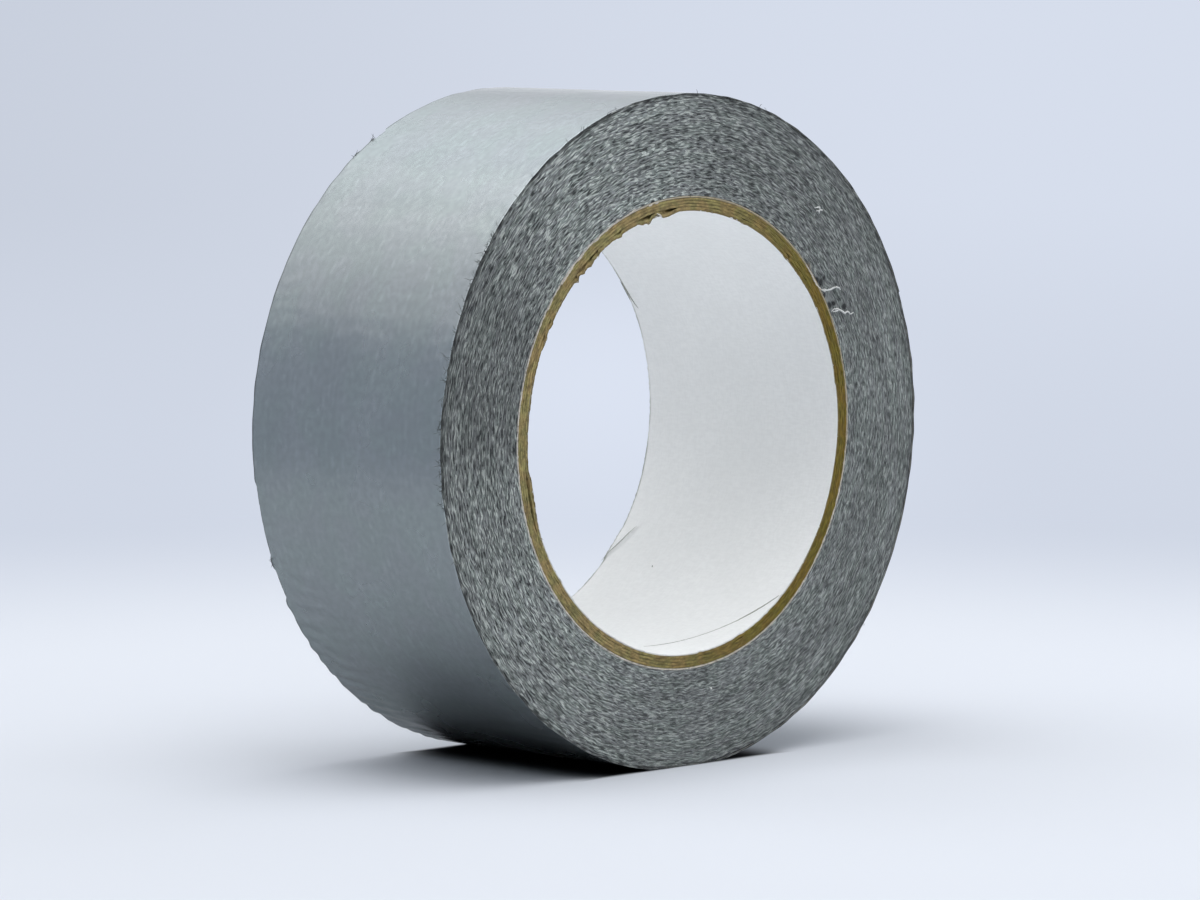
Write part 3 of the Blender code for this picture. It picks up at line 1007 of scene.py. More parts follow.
@dataclass
class Strands:
    """Many fine fibres in one mesh, each a thin closed tube that thins towards its ends."""

    sides: int = 5
    points: list[np.ndarray] = field(default_factory=list)
    faces: list[list[int]] = field(default_factory=list)

    def add(self, path: np.ndarray, radius: float) -> None:
        """Adds one fibre along a path of points, with the radius that it has at its middle."""
        along = np.gradient(path, axis=0)
        along /= np.linalg.norm(along, axis=1, keepdims=True)
        side = np.cross(along, [0.31, 0.89, 0.33])
        side /= np.linalg.norm(side, axis=1, keepdims=True)
        upper = np.cross(along, side)
        turn = np.linspace(0, TURN, self.sides, endpoint=False)
        taper = radius * (0.35 + 0.65 * np.sin(np.linspace(0.15, math.pi - 0.15, len(path))))
        ring = np.cos(turn)[None, :, None] * side[:, None] + np.sin(turn)[None, :, None] * upper[:, None]
        rings = path[:, None] + ring * taper[:, None, None]
        start = sum(len(block) for block in self.points)
        index = start + np.arange(len(path) * self.sides).reshape(len(path), self.sides)
        low, high = index[:-1], index[1:]
        quads = np.stack([low, np.roll(low, -1, 1), np.roll(high, -1, 1), high], axis=-1)
        self.faces += quads.reshape(-1, 4).tolist()
        self.faces += [index[0][::-1].tolist(), index[-1].tolist()]
        self.points.append(rings.reshape(-1, 3))

    def mesh(self, name: str, material: bpy.types.Material) -> bpy.types.Mesh:
        """Makes one mesh of all fibres, with one material."""
        mesh = bpy.data.meshes.new(name)
        mesh.from_pydata(np.concatenate(self.points).tolist(), [], self.faces)
        mesh.materials.append(material)
        mesh.shade_smooth()
        mesh.update()
        return mesh


@dataclass
class WoundTurns:
    """The turns under the last one, in a front half and a back half with a slit face each."""

    winding: Winding
    finishes: Finishes
    stations: int = 640
    rows: int = 100
    wall_rows: int = 14
    strand_height: float = 0.05 * MM
    rough_height: float = 0.02 * MM
    rim_drop: float = 0.08 * MM
    rim_reach: float = 0.5 * MM
    tread_drop: float = 0.03 * MM
    pucker_depth: float = 0.35 * MM
    pucker_arcs: tuple[Arc, ...] = (Arc(29.2, 32.4, 1.6), Arc(34.2, 36.2, 1.6))
    pucker_radii: tuple[float, float] = (40.9 * MM, 44.6 * MM)

    def face_relief(self, turn_angle: np.ndarray, radius: np.ndarray, side: Side) -> np.ndarray:
        """Height of a slit face over its plane.

        Args:
            turn_angle: turn angles of the places.
            radius: distances of the places from the axis.
            side: the face that is meant.

        Returns:
            Heights from the thread ends, a soft unevenness, a worn rim and the puckers of the front.
        """
        winding = self.winding
        flat = winding.place(turn_angle, radius, 0.0)
        rough = ripple(flat, 1.0 * MM, seed=31 + side.value) + ripple(flat, 9 * MM, seed=33 + side.value)
        rim = smooth_step(1 - (winding.radius(turn_angle) - radius) / self.rim_reach)
        height = winding.strand_ends(turn_angle, radius) * self.strand_height
        height = height + rough * self.rough_height - rim * self.rim_drop
        if side is Side.FRONT:
            low, high = self.pucker_radii
            across = smooth_step((radius - low) / MM) * smooth_step((high - radius) / MM)
            for arc in self.pucker_arcs:
                height = height - arc.share(winding.free_edge - turn_angle) * across * self.pucker_depth
        return height

    def build_half(self, side: Side) -> None:
        """One half of the wound turns, closed all round."""
        winding = self.winding
        turn_angle = TURN * np.arange(self.stations)[:, None] / self.stations
        outer = winding.radius(turn_angle)
        share = np.linspace(0, 1, self.rows)[None, :]
        rim_depth = np.array(side.value * winding.half_width)
        angle = winding.free_edge - turn_angle
        inner = winding.seat_radius + winding.spread(angle, winding.seat_radius, rim_depth)
        radius = inner + (outer - inner) * share
        height = self.face_relief(turn_angle, radius, side)
        face = winding.place(turn_angle, radius, side.value * (winding.half_width + height))
        depth = np.linspace(0, side.value * winding.half_width, self.wall_rows + 1)[None, :-1]
        along = winding.last_length(turn_angle) - TURN * winding.pack_radius
        relief = winding.film_relief(turn_angle, along, depth) - self.tread_drop
        wall = winding.place(turn_angle, outer + relief, depth)
        seat = winding.place(turn_angle, np.full_like(turn_angle, winding.seat_radius), np.zeros((1, 1)))
        if side is Side.FRONT:
            loops = np.concatenate([wall[:, ::-1], seat, face], axis=1)
            materials = [0] * (self.wall_rows - 1) + [1] * (self.rows + 1) + [0]
        else:
            loops = np.concatenate([wall, face[:, ::-1], seat], axis=1)
            materials = [0] * self.wall_rows + [1] * (self.rows + 1)
        spread = np.broadcast_to(along, loops.shape[:2])
        places = np.stack([spread, loops[..., 1], np.zeros_like(spread)], axis=-1)
        name = f"wound_turns_{side.name.lower()}"
        mesh = Sweep(loops, True, materials, places).mesh(name, [self.finishes.film, self.finishes.slit])
        add_piece(name, mesh, "tape_edge", "tape_pack")

    def build(self) -> None:
        """Both halves."""
        for side in Side:
            self.build_half(side)


@dataclass
class LastTurn:
    """The last turn of tape, and the free end that peels from the roll."""

    winding: Winding
    finishes: Finishes
    peel_root: float = 58 * MM
    rows: int = 104
    station_step: float = 0.54 * MM
    edge_wave: float = 0.03 * MM
    edge_curl: float = 0.03 * MM
    curl_share: float = 0.06
    bend_reach: tuple[float, float] = (2 * MM, 9 * MM)
    back_marks: tuple[tuple[Arc, float], ...] = (
        (Arc(118.0, 120.7, 0.5), -0.7 * MM),
        (Arc(120.7, 121.6, 0.6), 0.35 * MM),
        (Arc(124.7, 125.8, 0.6), 0.35 * MM),
        (Arc(188.0, 200.8, 1.5), -0.5 * MM),
        (Arc(201.6, 203.2, 0.6), 0.1 * MM),
        (Arc(203.2, 209.0, 0.6), -0.5 * MM),
    )

    def edges(self, along: np.ndarray, seed: int) -> np.ndarray:
        """Random wave of the two slit edges, one column for each."""
        line = along[..., None]
        waves = [ripple(line, 8 * MM, seed) + ripple(line, 25 * MM, seed + 1), ripple(line, 8 * MM, seed + 2)]
        return np.concatenate(waves, axis=1)

    def strip(self, first: float, last: float, under_rows: int) -> Sweep:
        """A stretch of tape from one turn angle to another.

        Args:
            first: turn angle where it begins.
            last: turn angle where it ends.
            under_rows: rows of points on its underside.

        Returns:
            The sweep, with the film as material 0, the underside 1 and the slit edges 2.
        """
        winding = self.winding
        stations = round((last - first) * winding.pack_radius / self.station_step)
        turn_angle = np.linspace(first, last, stations)[:, None]
        along = winding.last_length(turn_angle)
        wave = winding.half_width + self.edge_wave * self.edges(along, 51)
        for arc, height in self.back_marks:
            wave[:, 1:] += height * arc.share(winding.free_edge - turn_angle)
        curl = self.edge_curl * self.edges(along, 61)
        rows = [np.linspace(-1, 1, self.rows)[None, :], np.linspace(1, -1, under_rows)[None, :]]
        lifts = [winding.last_lift, winding.wind_gap]
        sheets = []
        for share, lift in zip(rows, lifts):
            front = share < 0
            depth = share * np.where(front, wave[:, :1], wave[:, 1:])
            at_edge = smooth_step((np.abs(share) - 1) / self.curl_share + 1)
            bend = at_edge * np.where(front, curl[:, :1], curl[:, 1:])
            if lift == winding.last_lift:
                bend = bend + winding.film_relief(turn_angle, along, depth)
            sheets.append(winding.place(turn_angle, winding.radius(turn_angle, lift) + bend, depth))
        loops = np.concatenate(sheets, axis=1)
        materials = [0] * (self.rows - 1) + [2] + [1] * (under_rows - 1) + [2]
        spread = np.broadcast_to(along, loops.shape[:2])
        places = np.stack([spread, loops[..., 1], np.zeros_like(spread)], axis=-1)
        return Sweep(loops, False, materials, places)

    def build(self) -> None:
        """The turn that stays on the roll, and the strip that bends at the peel line."""
        winding, finishes = self.winding, self.finishes
        materials = [finishes.film, finishes.adhesive, finishes.slit]
        split = TURN - self.peel_root / winding.pack_radius
        turn = self.strip(0.0, split, under_rows=3).mesh("outer_turn_film", materials)
        wound = add_piece("outer_turn_film", turn, "silver_film", "outer_turn")
        strip = self.strip(split, TURN, under_rows=self.rows // 2).mesh("peel_strip", materials)
        end = add_piece("peel_strip", strip, "silver_film", "tape_end", body=None)
        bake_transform(end)


@dataclass
class PaperCore:
    """The paper plies of the core, each wound with a helical seam and worn at its cut ends."""

    winding: Winding
    finishes: Finishes
    glue_line: float = 0.05 * MM
    liner_thickness: float = 0.2 * MM
    seam_lead: float = 115 * MM
    seam_gap: float = 0.4 * MM
    seam_lip: float = 0.10 * MM
    first_seam: float = math.radians(-51)
    stagger: float = math.radians(100)
    liner_grid: tuple[int, int] = (72, 600)
    board_grid: tuple[int, int] = (24, 600)
    torn_arc: Arc = Arc(98, 158, 12)
    tear_depth: float = 0.30 * MM
    splits: tuple[tuple[float, float, float], ...] = ((206.0, 187.5, 0.5 * MM), (92.5, 99.5, 0.55 * MM))
    crease: tuple[float, float, float, float] = (-34.0, 19.8 * MM, -44.0, 23.3 * MM)
    crease_height: float = 0.4 * MM
    split_reach: float = 6 * MM
    tear_reach: float = 1.2 * MM
    lip_reach: float = 1.5 * MM
    liner_wave: float = 0.03 * MM
    end_wave: float = 0.04 * MM
    end_rough: float = 0.05 * MM
    end_swell: float = 0.03 * MM
    rim_shares: tuple[float, ...] = (0.25, 0.5, 0.75)
    nodes: tuple[str, ...] = ("core_liner", *(f"core_ply_{number}" for number in range(1, 5)), "core_wrap")

    def paper(self, number: int) -> Paper:
        """Which paper a ply is made of, counted from the bore."""
        if number == 0:
            return Paper.LINER
        return Paper.WRAP if number == len(self.nodes) - 1 else Paper.BOARD

    def walls(self, number: int) -> tuple[float, float]:
        """Inner and outer radius of a ply."""
        outer = node_radius(self.nodes[number])
        if number == 0:
            return outer - self.liner_thickness, outer
        return node_radius(self.nodes[number - 1]) + self.glue_line, outer

    def split(self, angle: np.ndarray, depth: np.ndarray) -> np.ndarray:
        """How far the first plies bend inwards where they have split from the rest at the front.

        Each split grows slowly from its first angle and ends in a tear at its last one.
        """
        front = smooth_step(1 - (depth + self.winding.half_width) / self.split_reach)
        total = np.zeros_like(angle)
        for first, last, deepest in self.splits:
            middle = math.radians(first + last) / 2
            off = np.degrees((angle - middle + math.pi) % TURN - math.pi) + (first + last) / 2
            share = (off - first) / (last - first)
            torn = smooth_step(share * 1.4) * smooth_step(6 - 5.5 * share)
            total = total + deepest * torn * front
        return total

    def tears(self, angle: np.ndarray, depth: np.ndarray) -> np.ndarray:
        """How far torn fibres stand inwards over the front end, most where the knife tore it."""
        line = self.winding.around(angle[:, :1], self.winding.bore_radius, 0.0)
        rough = ripple(line, 4 * MM, seed=383) + 0.6 * ripple(line, 1.2 * MM, seed=150)
        share = 0.3 + 0.7 * self.torn_arc.share(angle[:, :1])
        front = smooth_step(1 - (depth + self.winding.half_width) / self.tear_reach)
        return share * np.maximum(rough - 0.6, 0) * self.tear_depth * front

    def creased(self, angle: np.ndarray, depth: np.ndarray) -> np.ndarray:
        """How far the liner stands up along the crease by its back edge."""
        first, low, last, high = self.crease
        degrees = np.degrees((angle + math.pi) % TURN - math.pi)
        share = (degrees - first) / (last - first)
        off = depth - (low + (high - low) * share)
        within = smooth_step(share * 4) * smooth_step((2.2 - share) * 2)
        rise = smooth_step(1 + off / (0.9 * MM)) * smooth_step(1.2 - off / (4 * MM))
        return self.crease_height * within * rise

    def ply(self, number: int) -> Sweep:
        """One ply as a sheet wound from seam to seam, with rough cut ends.

        Args:
            number: place of the ply, counted from the bore.

        Returns:
            The sweep of the ply, with one material.
        """
        winding = self.winding
        inner, outer = self.walls(number)
        rows, stations = self.liner_grid if number == 0 else self.board_grid
        depth = np.linspace(-1, 1, rows)[None, :] * winding.half_width
        gap = self.seam_gap / inner
        seam = self.first_seam + self.stagger * number - TURN * (depth + winding.half_width) / self.seam_lead
        share = np.linspace(0, 1, stations)[:, None]
        angle = seam + gap / 2 + share * (TURN - gap)
        inward = np.zeros_like(angle)
        if number < 2:
            inward = inward + self.split(angle, depth) + self.tears(angle, depth)
        if number == 0:
            lip = smooth_step(1 - (1 - share) * TURN * inner / self.lip_reach) * self.seam_lip
            waves = ripple(winding.around(angle, inner, depth), 16 * MM, seed=70) * self.liner_wave
            inward = inward + lip + waves + self.creased(angle, depth)
        walls = []
        for radius, seed in ((inner, number), (outer, number + 20)):
            true = radius - inward + winding.spread(angle, radius, depth)
            walls.append(winding.around(angle, true, depth + self.ragged(angle, depth, seed)))
        face, back = walls
        rims = []
        for column, side in ((-1, Side.BACK), (0, Side.FRONT)):
            at = angle[:, [column]]
            radius = inner + (outer - inner) * np.array([self.rim_shares])
            radius = radius - inward[:, [column]] + winding.spread(at, radius, depth[:, [column]])
            rims.append(self.cut_end(at, radius, side, number))
        loops = np.concatenate([face, rims[0], back[:, ::-1], rims[1][:, ::-1]], axis=1)
        return Sweep(loops, False, [0] * loops.shape[1])

    def ragged(self, angle: np.ndarray, depth: np.ndarray, seed: int) -> np.ndarray:
        """How far a cut end stands out or back, zero away from the two ends."""
        flat = self.winding.around(angle, 0.04, 0.0)
        at_end = np.abs(depth) > self.winding.half_width * 0.999
        return np.where(at_end, ripple(flat, 1.2 * MM, seed=90 + seed) * self.end_wave, 0.0)

    def cut_end(self, angle: np.ndarray, radius: np.ndarray, side: Side, number: int) -> np.ndarray:
        """Rough points across a ply's cut end.

        Args:
            angle: angles of the stations.
            radius: radii across the ply.
            side: the end that is meant.
            number: place of the ply, counted from the bore.

        Returns:
            Points for each station and radius.
        """
        winding = self.winding
        flat = winding.around(angle, radius, 0.0)
        rough = ripple(flat, 0.8 * MM, seed=130 + number) * self.end_rough + self.end_swell
        depth = side.value * (winding.half_width + rough)
        return winding.around(angle, radius, depth)

    def build(self) -> None:
        """All plies from the bore outwards."""
        for number, node in enumerate(self.nodes):
            paper = self.paper(number)
            mesh = self.ply(number).mesh(f"{node}_paper", [self.finishes.papers[paper]])
            add_piece(f"{node}_paper", mesh, paper.value, node)


@dataclass
class LooseFibres:
    """Threads that hang from the slit edges, pulled threads on the front, and torn board fibres.

    A path over a face is a row of pairs, the angle in degrees and the radius in millimetres, and a
    path over the liner is a row of pairs of the angle and the place along the axis.
    """

    winding: Winding
    finishes: Finishes
    seed: int = 4127
    rim_arcs: tuple[tuple[Arc, int], ...] = ((Arc(142, 190), 130), (Arc(105, 235), 40), (Arc(-50, 90), 8))
    back_tufts: tuple[float, ...] = (120.8, 125.9, 202.0)
    board_arcs: tuple[tuple[Arc, int], ...] = ((Arc(96, 150), 26), (Arc(-180, 180), 30))
    pulled: tuple[tuple[tuple[float, float], ...], ...] = (
        (
            *((34.4, 41.1), (34.0, 41.8), (33.3, 42.1), (32.7, 43.0)),
            *((32.4, 43.8), (32.0, 44.5), (31.4, 45.0), (30.7, 45.2)),
        ),
        ((34.5, 41.1), (33.8, 41.4), (33.5, 41.9), (33.1, 42.5)),
        (
            *((27.8, 41.3), (27.9, 42.1), (27.4, 42.9), (26.2, 43.6)),
            *((25.3, 44.1), (25.2, 44.9), (24.2, 45.4), (24.0, 46.2)),
        ),
        ((27.5, 41.6), (27.2, 42.3), (26.9, 42.9)),
        ((49.6, 49.6), (48.9, 50.3), (48.2, 50.1), (47.5, 50.6)),
        ((48.9, 49.4), (48.4, 49.8), (47.9, 49.6)),
        ((-82.8, 45.2), (-82.5, 45.5), (-82.2, 45.4)),
    )
    scraps: tuple[tuple[tuple[float, float], ...], ...] = (
        ((43.0, 40.85), (41.0, 40.8), (39.5, 40.74), (38.1, 40.6), (36.5, 40.62), (34.9, 41.0), (34.3, 41.2)),
        ((101.2, 38.9), (100.4, 38.65), (99.9, 38.35), (99.5, 38.1)),
        ((103.6, 40.7), (103.0, 40.6), (102.3, 40.75)),
        ((101.2, 40.7), (100.6, 40.6), (99.9, 40.8)),
        ((115.5, 40.9), (114.6, 41.1), (113.6, 40.9)),
        ((120.2, 40.8), (119.0, 40.8), (118.0, 40.95)),
        ((124.0, 40.75), (122.7, 40.7), (121.5, 40.8)),
        ((131.0, 40.7), (129.5, 40.68), (128.2, 40.75)),
        ((138.5, 40.7), (136.8, 40.66), (134.8, 40.7), (133.0, 40.72)),
        ((110.5, 40.95), (109.3, 41.0), (108.0, 41.15)),
        ((127.0, 40.85), (126.0, 41.0), (125.2, 41.05)),
        ((146.0, 40.75), (144.5, 40.8), (143.0, 40.9)),
        ((166.5, 40.8), (165.6, 40.9), (164.9, 40.85)),
    )
    # Torn grey edges at the back rim of the liner, which also paint the shade of the gap behind the lifted
    # edge.
    torn_liner: tuple[tuple[tuple[float, float], ...], ...] = (
        ((38.6, 23.5), (37.0, 23.4), (35.0, 23.3), (32.6, 23.1), (30.6, 22.9), (29.0, 22.6), (27.6, 22.1)),
        ((36.6, 23.6), (34.4, 23.6), (32.0, 23.5), (30.2, 23.4)),
    )
    # A painted shade line along the crease by the back edge.
    crease_shade_line: tuple[tuple[float, float], ...] = (
        *((-34.6, 19.8), (-37.0, 20.9), (-40.4, 22.0)),
        *((-43.7, 23.1), (-47.0, 23.5)),
    )
    # Lines along the seam: its grey cut edge and the painted shade of its step.
    seam_edge_and_shade_lines: tuple[tuple[float, float, float, float, float], ...] = (
        (-52.0, -23.2, -66.0, -18.72, 0.13),
        (-60.0, -20.63, -77.0, -15.2, 0.075),
        (-70.0, -17.43, -88.0, -11.7, 0.045),
    )
    bore_speck: tuple[tuple[float, float], ...] = ((-46.8, 10.9), (-46.3, 11.0))
    hair_radius: float = 0.04 * MM
    hair_lengths: tuple[float, float] = (0.3 * MM, 1.3 * MM)
    tuft_count: int = 7
    tuft_lengths: tuple[float, float] = (0.3 * MM, 0.7 * MM)
    pulled_radius: float = 0.16 * MM
    scrap_radius: float = 0.13 * MM
    scrap_lift: float = 0.09 * MM
    liner_lift: float = 0.24 * MM
    torn_radius: float = 0.07 * MM
    crease_radius: float = 0.055 * MM
    crease_lift: float = 0.40 * MM
    seam_lift: float = 0.08 * MM
    speck_radius: float = 0.1 * MM
    fibre_roots: tuple[float, float] = (38.78 * MM, 39.5 * MM)
    fibre_lengths: tuple[float, float] = (0.3 * MM, 0.9 * MM)
    fibre_radii: tuple[float, float] = (0.02 * MM, 0.05 * MM)

    @staticmethod
    def along(points: tuple[tuple[float, float], ...], steps: int) -> tuple[np.ndarray, np.ndarray]:
        """Evenly spread angles in radians and second values in metres along a path."""
        pairs = np.array(points)
        at = np.linspace(0, len(pairs) - 1, steps)
        first, second = (np.interp(at, np.arange(len(pairs)), column) for column in pairs.T)
        return np.radians(first), second * MM

    @staticmethod
    def wisp(
        root: np.ndarray, way: np.ndarray, length: float, random: np.random.Generator
    ) -> np.ndarray:
        """A curling path of a fibre from its root."""
        steps = np.linspace(0, 1, 8)[:, None]
        bend = random.normal(size=3) * 0.4
        curl = random.normal(size=3) * 0.2
        return root + length * (way * steps + bend * steps**2 + curl * np.sin(steps * 5) * steps)

    def add_rim_thread(
        self, strands: Strands, angle: float, side: Side, length: float, random: np.random.Generator
    ) -> None:
        """Adds one thread that starts at the corner of tread and slit face."""
        winding = self.winding
        turn_angle = np.array((winding.free_edge - angle) % TURN)
        radius = winding.radius(turn_angle, winding.last_lift * 0.5)
        root = winding.around(np.array(angle), radius, np.array(side.value * winding.half_width))
        out = np.array([math.cos(angle), 0.0, math.sin(angle)])
        along = np.array([-out[2], 0.0, out[0]])
        way = out * random.uniform(0.1, 0.9) + along * random.uniform(-1, 1)
        way = way + np.array([0, side.value * random.uniform(-0.2, 0.2), 0])
        strands.add(self.wisp(root, way / np.linalg.norm(way), length, random), self.hair_radius)

    def build_rim(self) -> None:
        """Short threads along the slit rims."""
        random = np.random.default_rng(self.seed)
        strands = Strands()
        for arc, count in self.rim_arcs:
            for _ in range(count):
                angle = arc.draw(random)
                length = random.uniform(*self.hair_lengths)
                self.add_rim_thread(strands, angle, Side.FRONT, length, random)
        for tuft in self.back_tufts:
            for _ in range(self.tuft_count):
                angle = math.radians(tuft + random.uniform(-0.5, 0.5))
                length = random.uniform(*self.tuft_lengths)
                self.add_rim_thread(strands, angle, Side.BACK, length, random)
        add_piece("rim_threads", strands.mesh("rim_threads", self.finishes.hair), "tape_edge")

    def build_pulled(self) -> None:
        """Pale threads that something has pulled out of the front face."""
        winding = self.winding
        random = np.random.default_rng(self.seed + 1)
        strands = Strands(sides=6)
        for points in self.pulled:
            angle, radius = self.along(points, 6 * len(points))
            lift = (0.06 + 0.12 * np.sin(np.linspace(0, math.pi, len(angle)))) * MM
            path = winding.around(angle, radius, -winding.half_width - lift)
            path += random.normal(size=path.shape) * 0.035 * MM
            strands.add(path, self.pulled_radius)
        add_piece("pulled_threads", strands.mesh("pulled_threads", self.finishes.thread), "tape_edge")

    def build_scraps(self) -> None:
        """Torn pale edges of the wrap and the liner on the core's front end."""
        winding = self.winding
        random = np.random.default_rng(self.seed + 3)
        strands = Strands(sides=6)
        for points in self.scraps:
            angle, radius = self.along(points, 6 * len(points))
            path = winding.around(angle, radius, -winding.half_width - self.scrap_lift)
            path += random.normal(size=path.shape) * 0.03 * MM
            strands.add(path, self.scrap_radius)
        add_piece("torn_wrap_edge", strands.mesh("torn_wrap_edge", self.finishes.scrap), "wrap_paper")

    def build_liner(self) -> None:
        """Grey strands on the white liner: torn edges that also paint the shade of the gap behind them, a
        painted shade line along the crease, the seam's grey cut edge with the painted shade of its step, and
        one speck.
        """
        winding = self.winding
        strands = Strands(sides=6)
        bore = node_radius("core_liner") - self.liner_lift
        for points in self.torn_liner:
            angle, depth = self.along(points, 30)
            strands.add(winding.around(angle, bore, depth), self.torn_radius)
        angle, depth = self.along(self.crease_shade_line, 40)
        strands.add(winding.around(angle, bore - self.crease_lift, depth), self.crease_radius)
        random = np.random.default_rng(self.seed + 4)
        for *ends, radius in self.seam_edge_and_shade_lines:
            angle, depth = self.along((ends[:2], ends[2:]), 30)
            depth = depth + random.normal(size=depth.shape) * 0.03 * MM
            strands.add(winding.around(angle, bore - self.seam_lift, depth), radius * MM)
        angle, depth = self.along(self.bore_speck, 6)
        strands.add(winding.around(angle, bore, depth), self.speck_radius)
        add_piece("torn_liner_edges", strands.mesh("torn_liner_edges", self.finishes.torn), "liner_paper")

    def build_board(self) -> None:
        """Fibres of brown board at the rough inner edge of the core."""
        winding = self.winding
        random = np.random.default_rng(self.seed + 2)
        strands = Strands()
        for arc, count in self.board_arcs:
            for _ in range(count):
                angle = arc.draw(random)
                out = np.array([math.cos(angle), 0.0, math.sin(angle)])
                along = np.array([-out[2], 0.0, out[0]])
                radius = random.uniform(*self.fibre_roots)
                root = winding.around(np.array(angle), np.array(radius), np.array(-winding.half_width))
                way = along * random.choice([-1, 1]) - out * random.uniform(-0.1, 0.35)
                way = way + np.array([0, -random.uniform(0.05, 0.3), 0])
                length = random.uniform(*self.fibre_lengths)
                path = self.wisp(root, way / np.linalg.norm(way), length, random)
                strands.add(path, random.uniform(*self.fibre_radii))
        mesh = strands.mesh("board_fibres", self.finishes.papers[Paper.BOARD])
        add_piece("board_fibres", mesh, "core_board")

    def build(self) -> None:
        """All loose fibres."""
        self.build_rim()
        self.build_pulled()
        self.build_scraps()
        self.build_liner()
        self.build_board()


@dataclass(frozen=True)
class Patch:
    """A patch of light round the roll: heading from +Y towards +X, lift, strength and hue."""

    heading: float
    lift: float
    strength: float
    warmth: float = 0.0

    def way(self) -> Vector:
        """The way from the roll to the patch."""
        heading, lift = math.radians(self.heading), math.radians(self.lift)
        level = math.cos(lift)
        return Vector((math.sin(heading) * level, math.cos(heading) * level, math.sin(lift)))


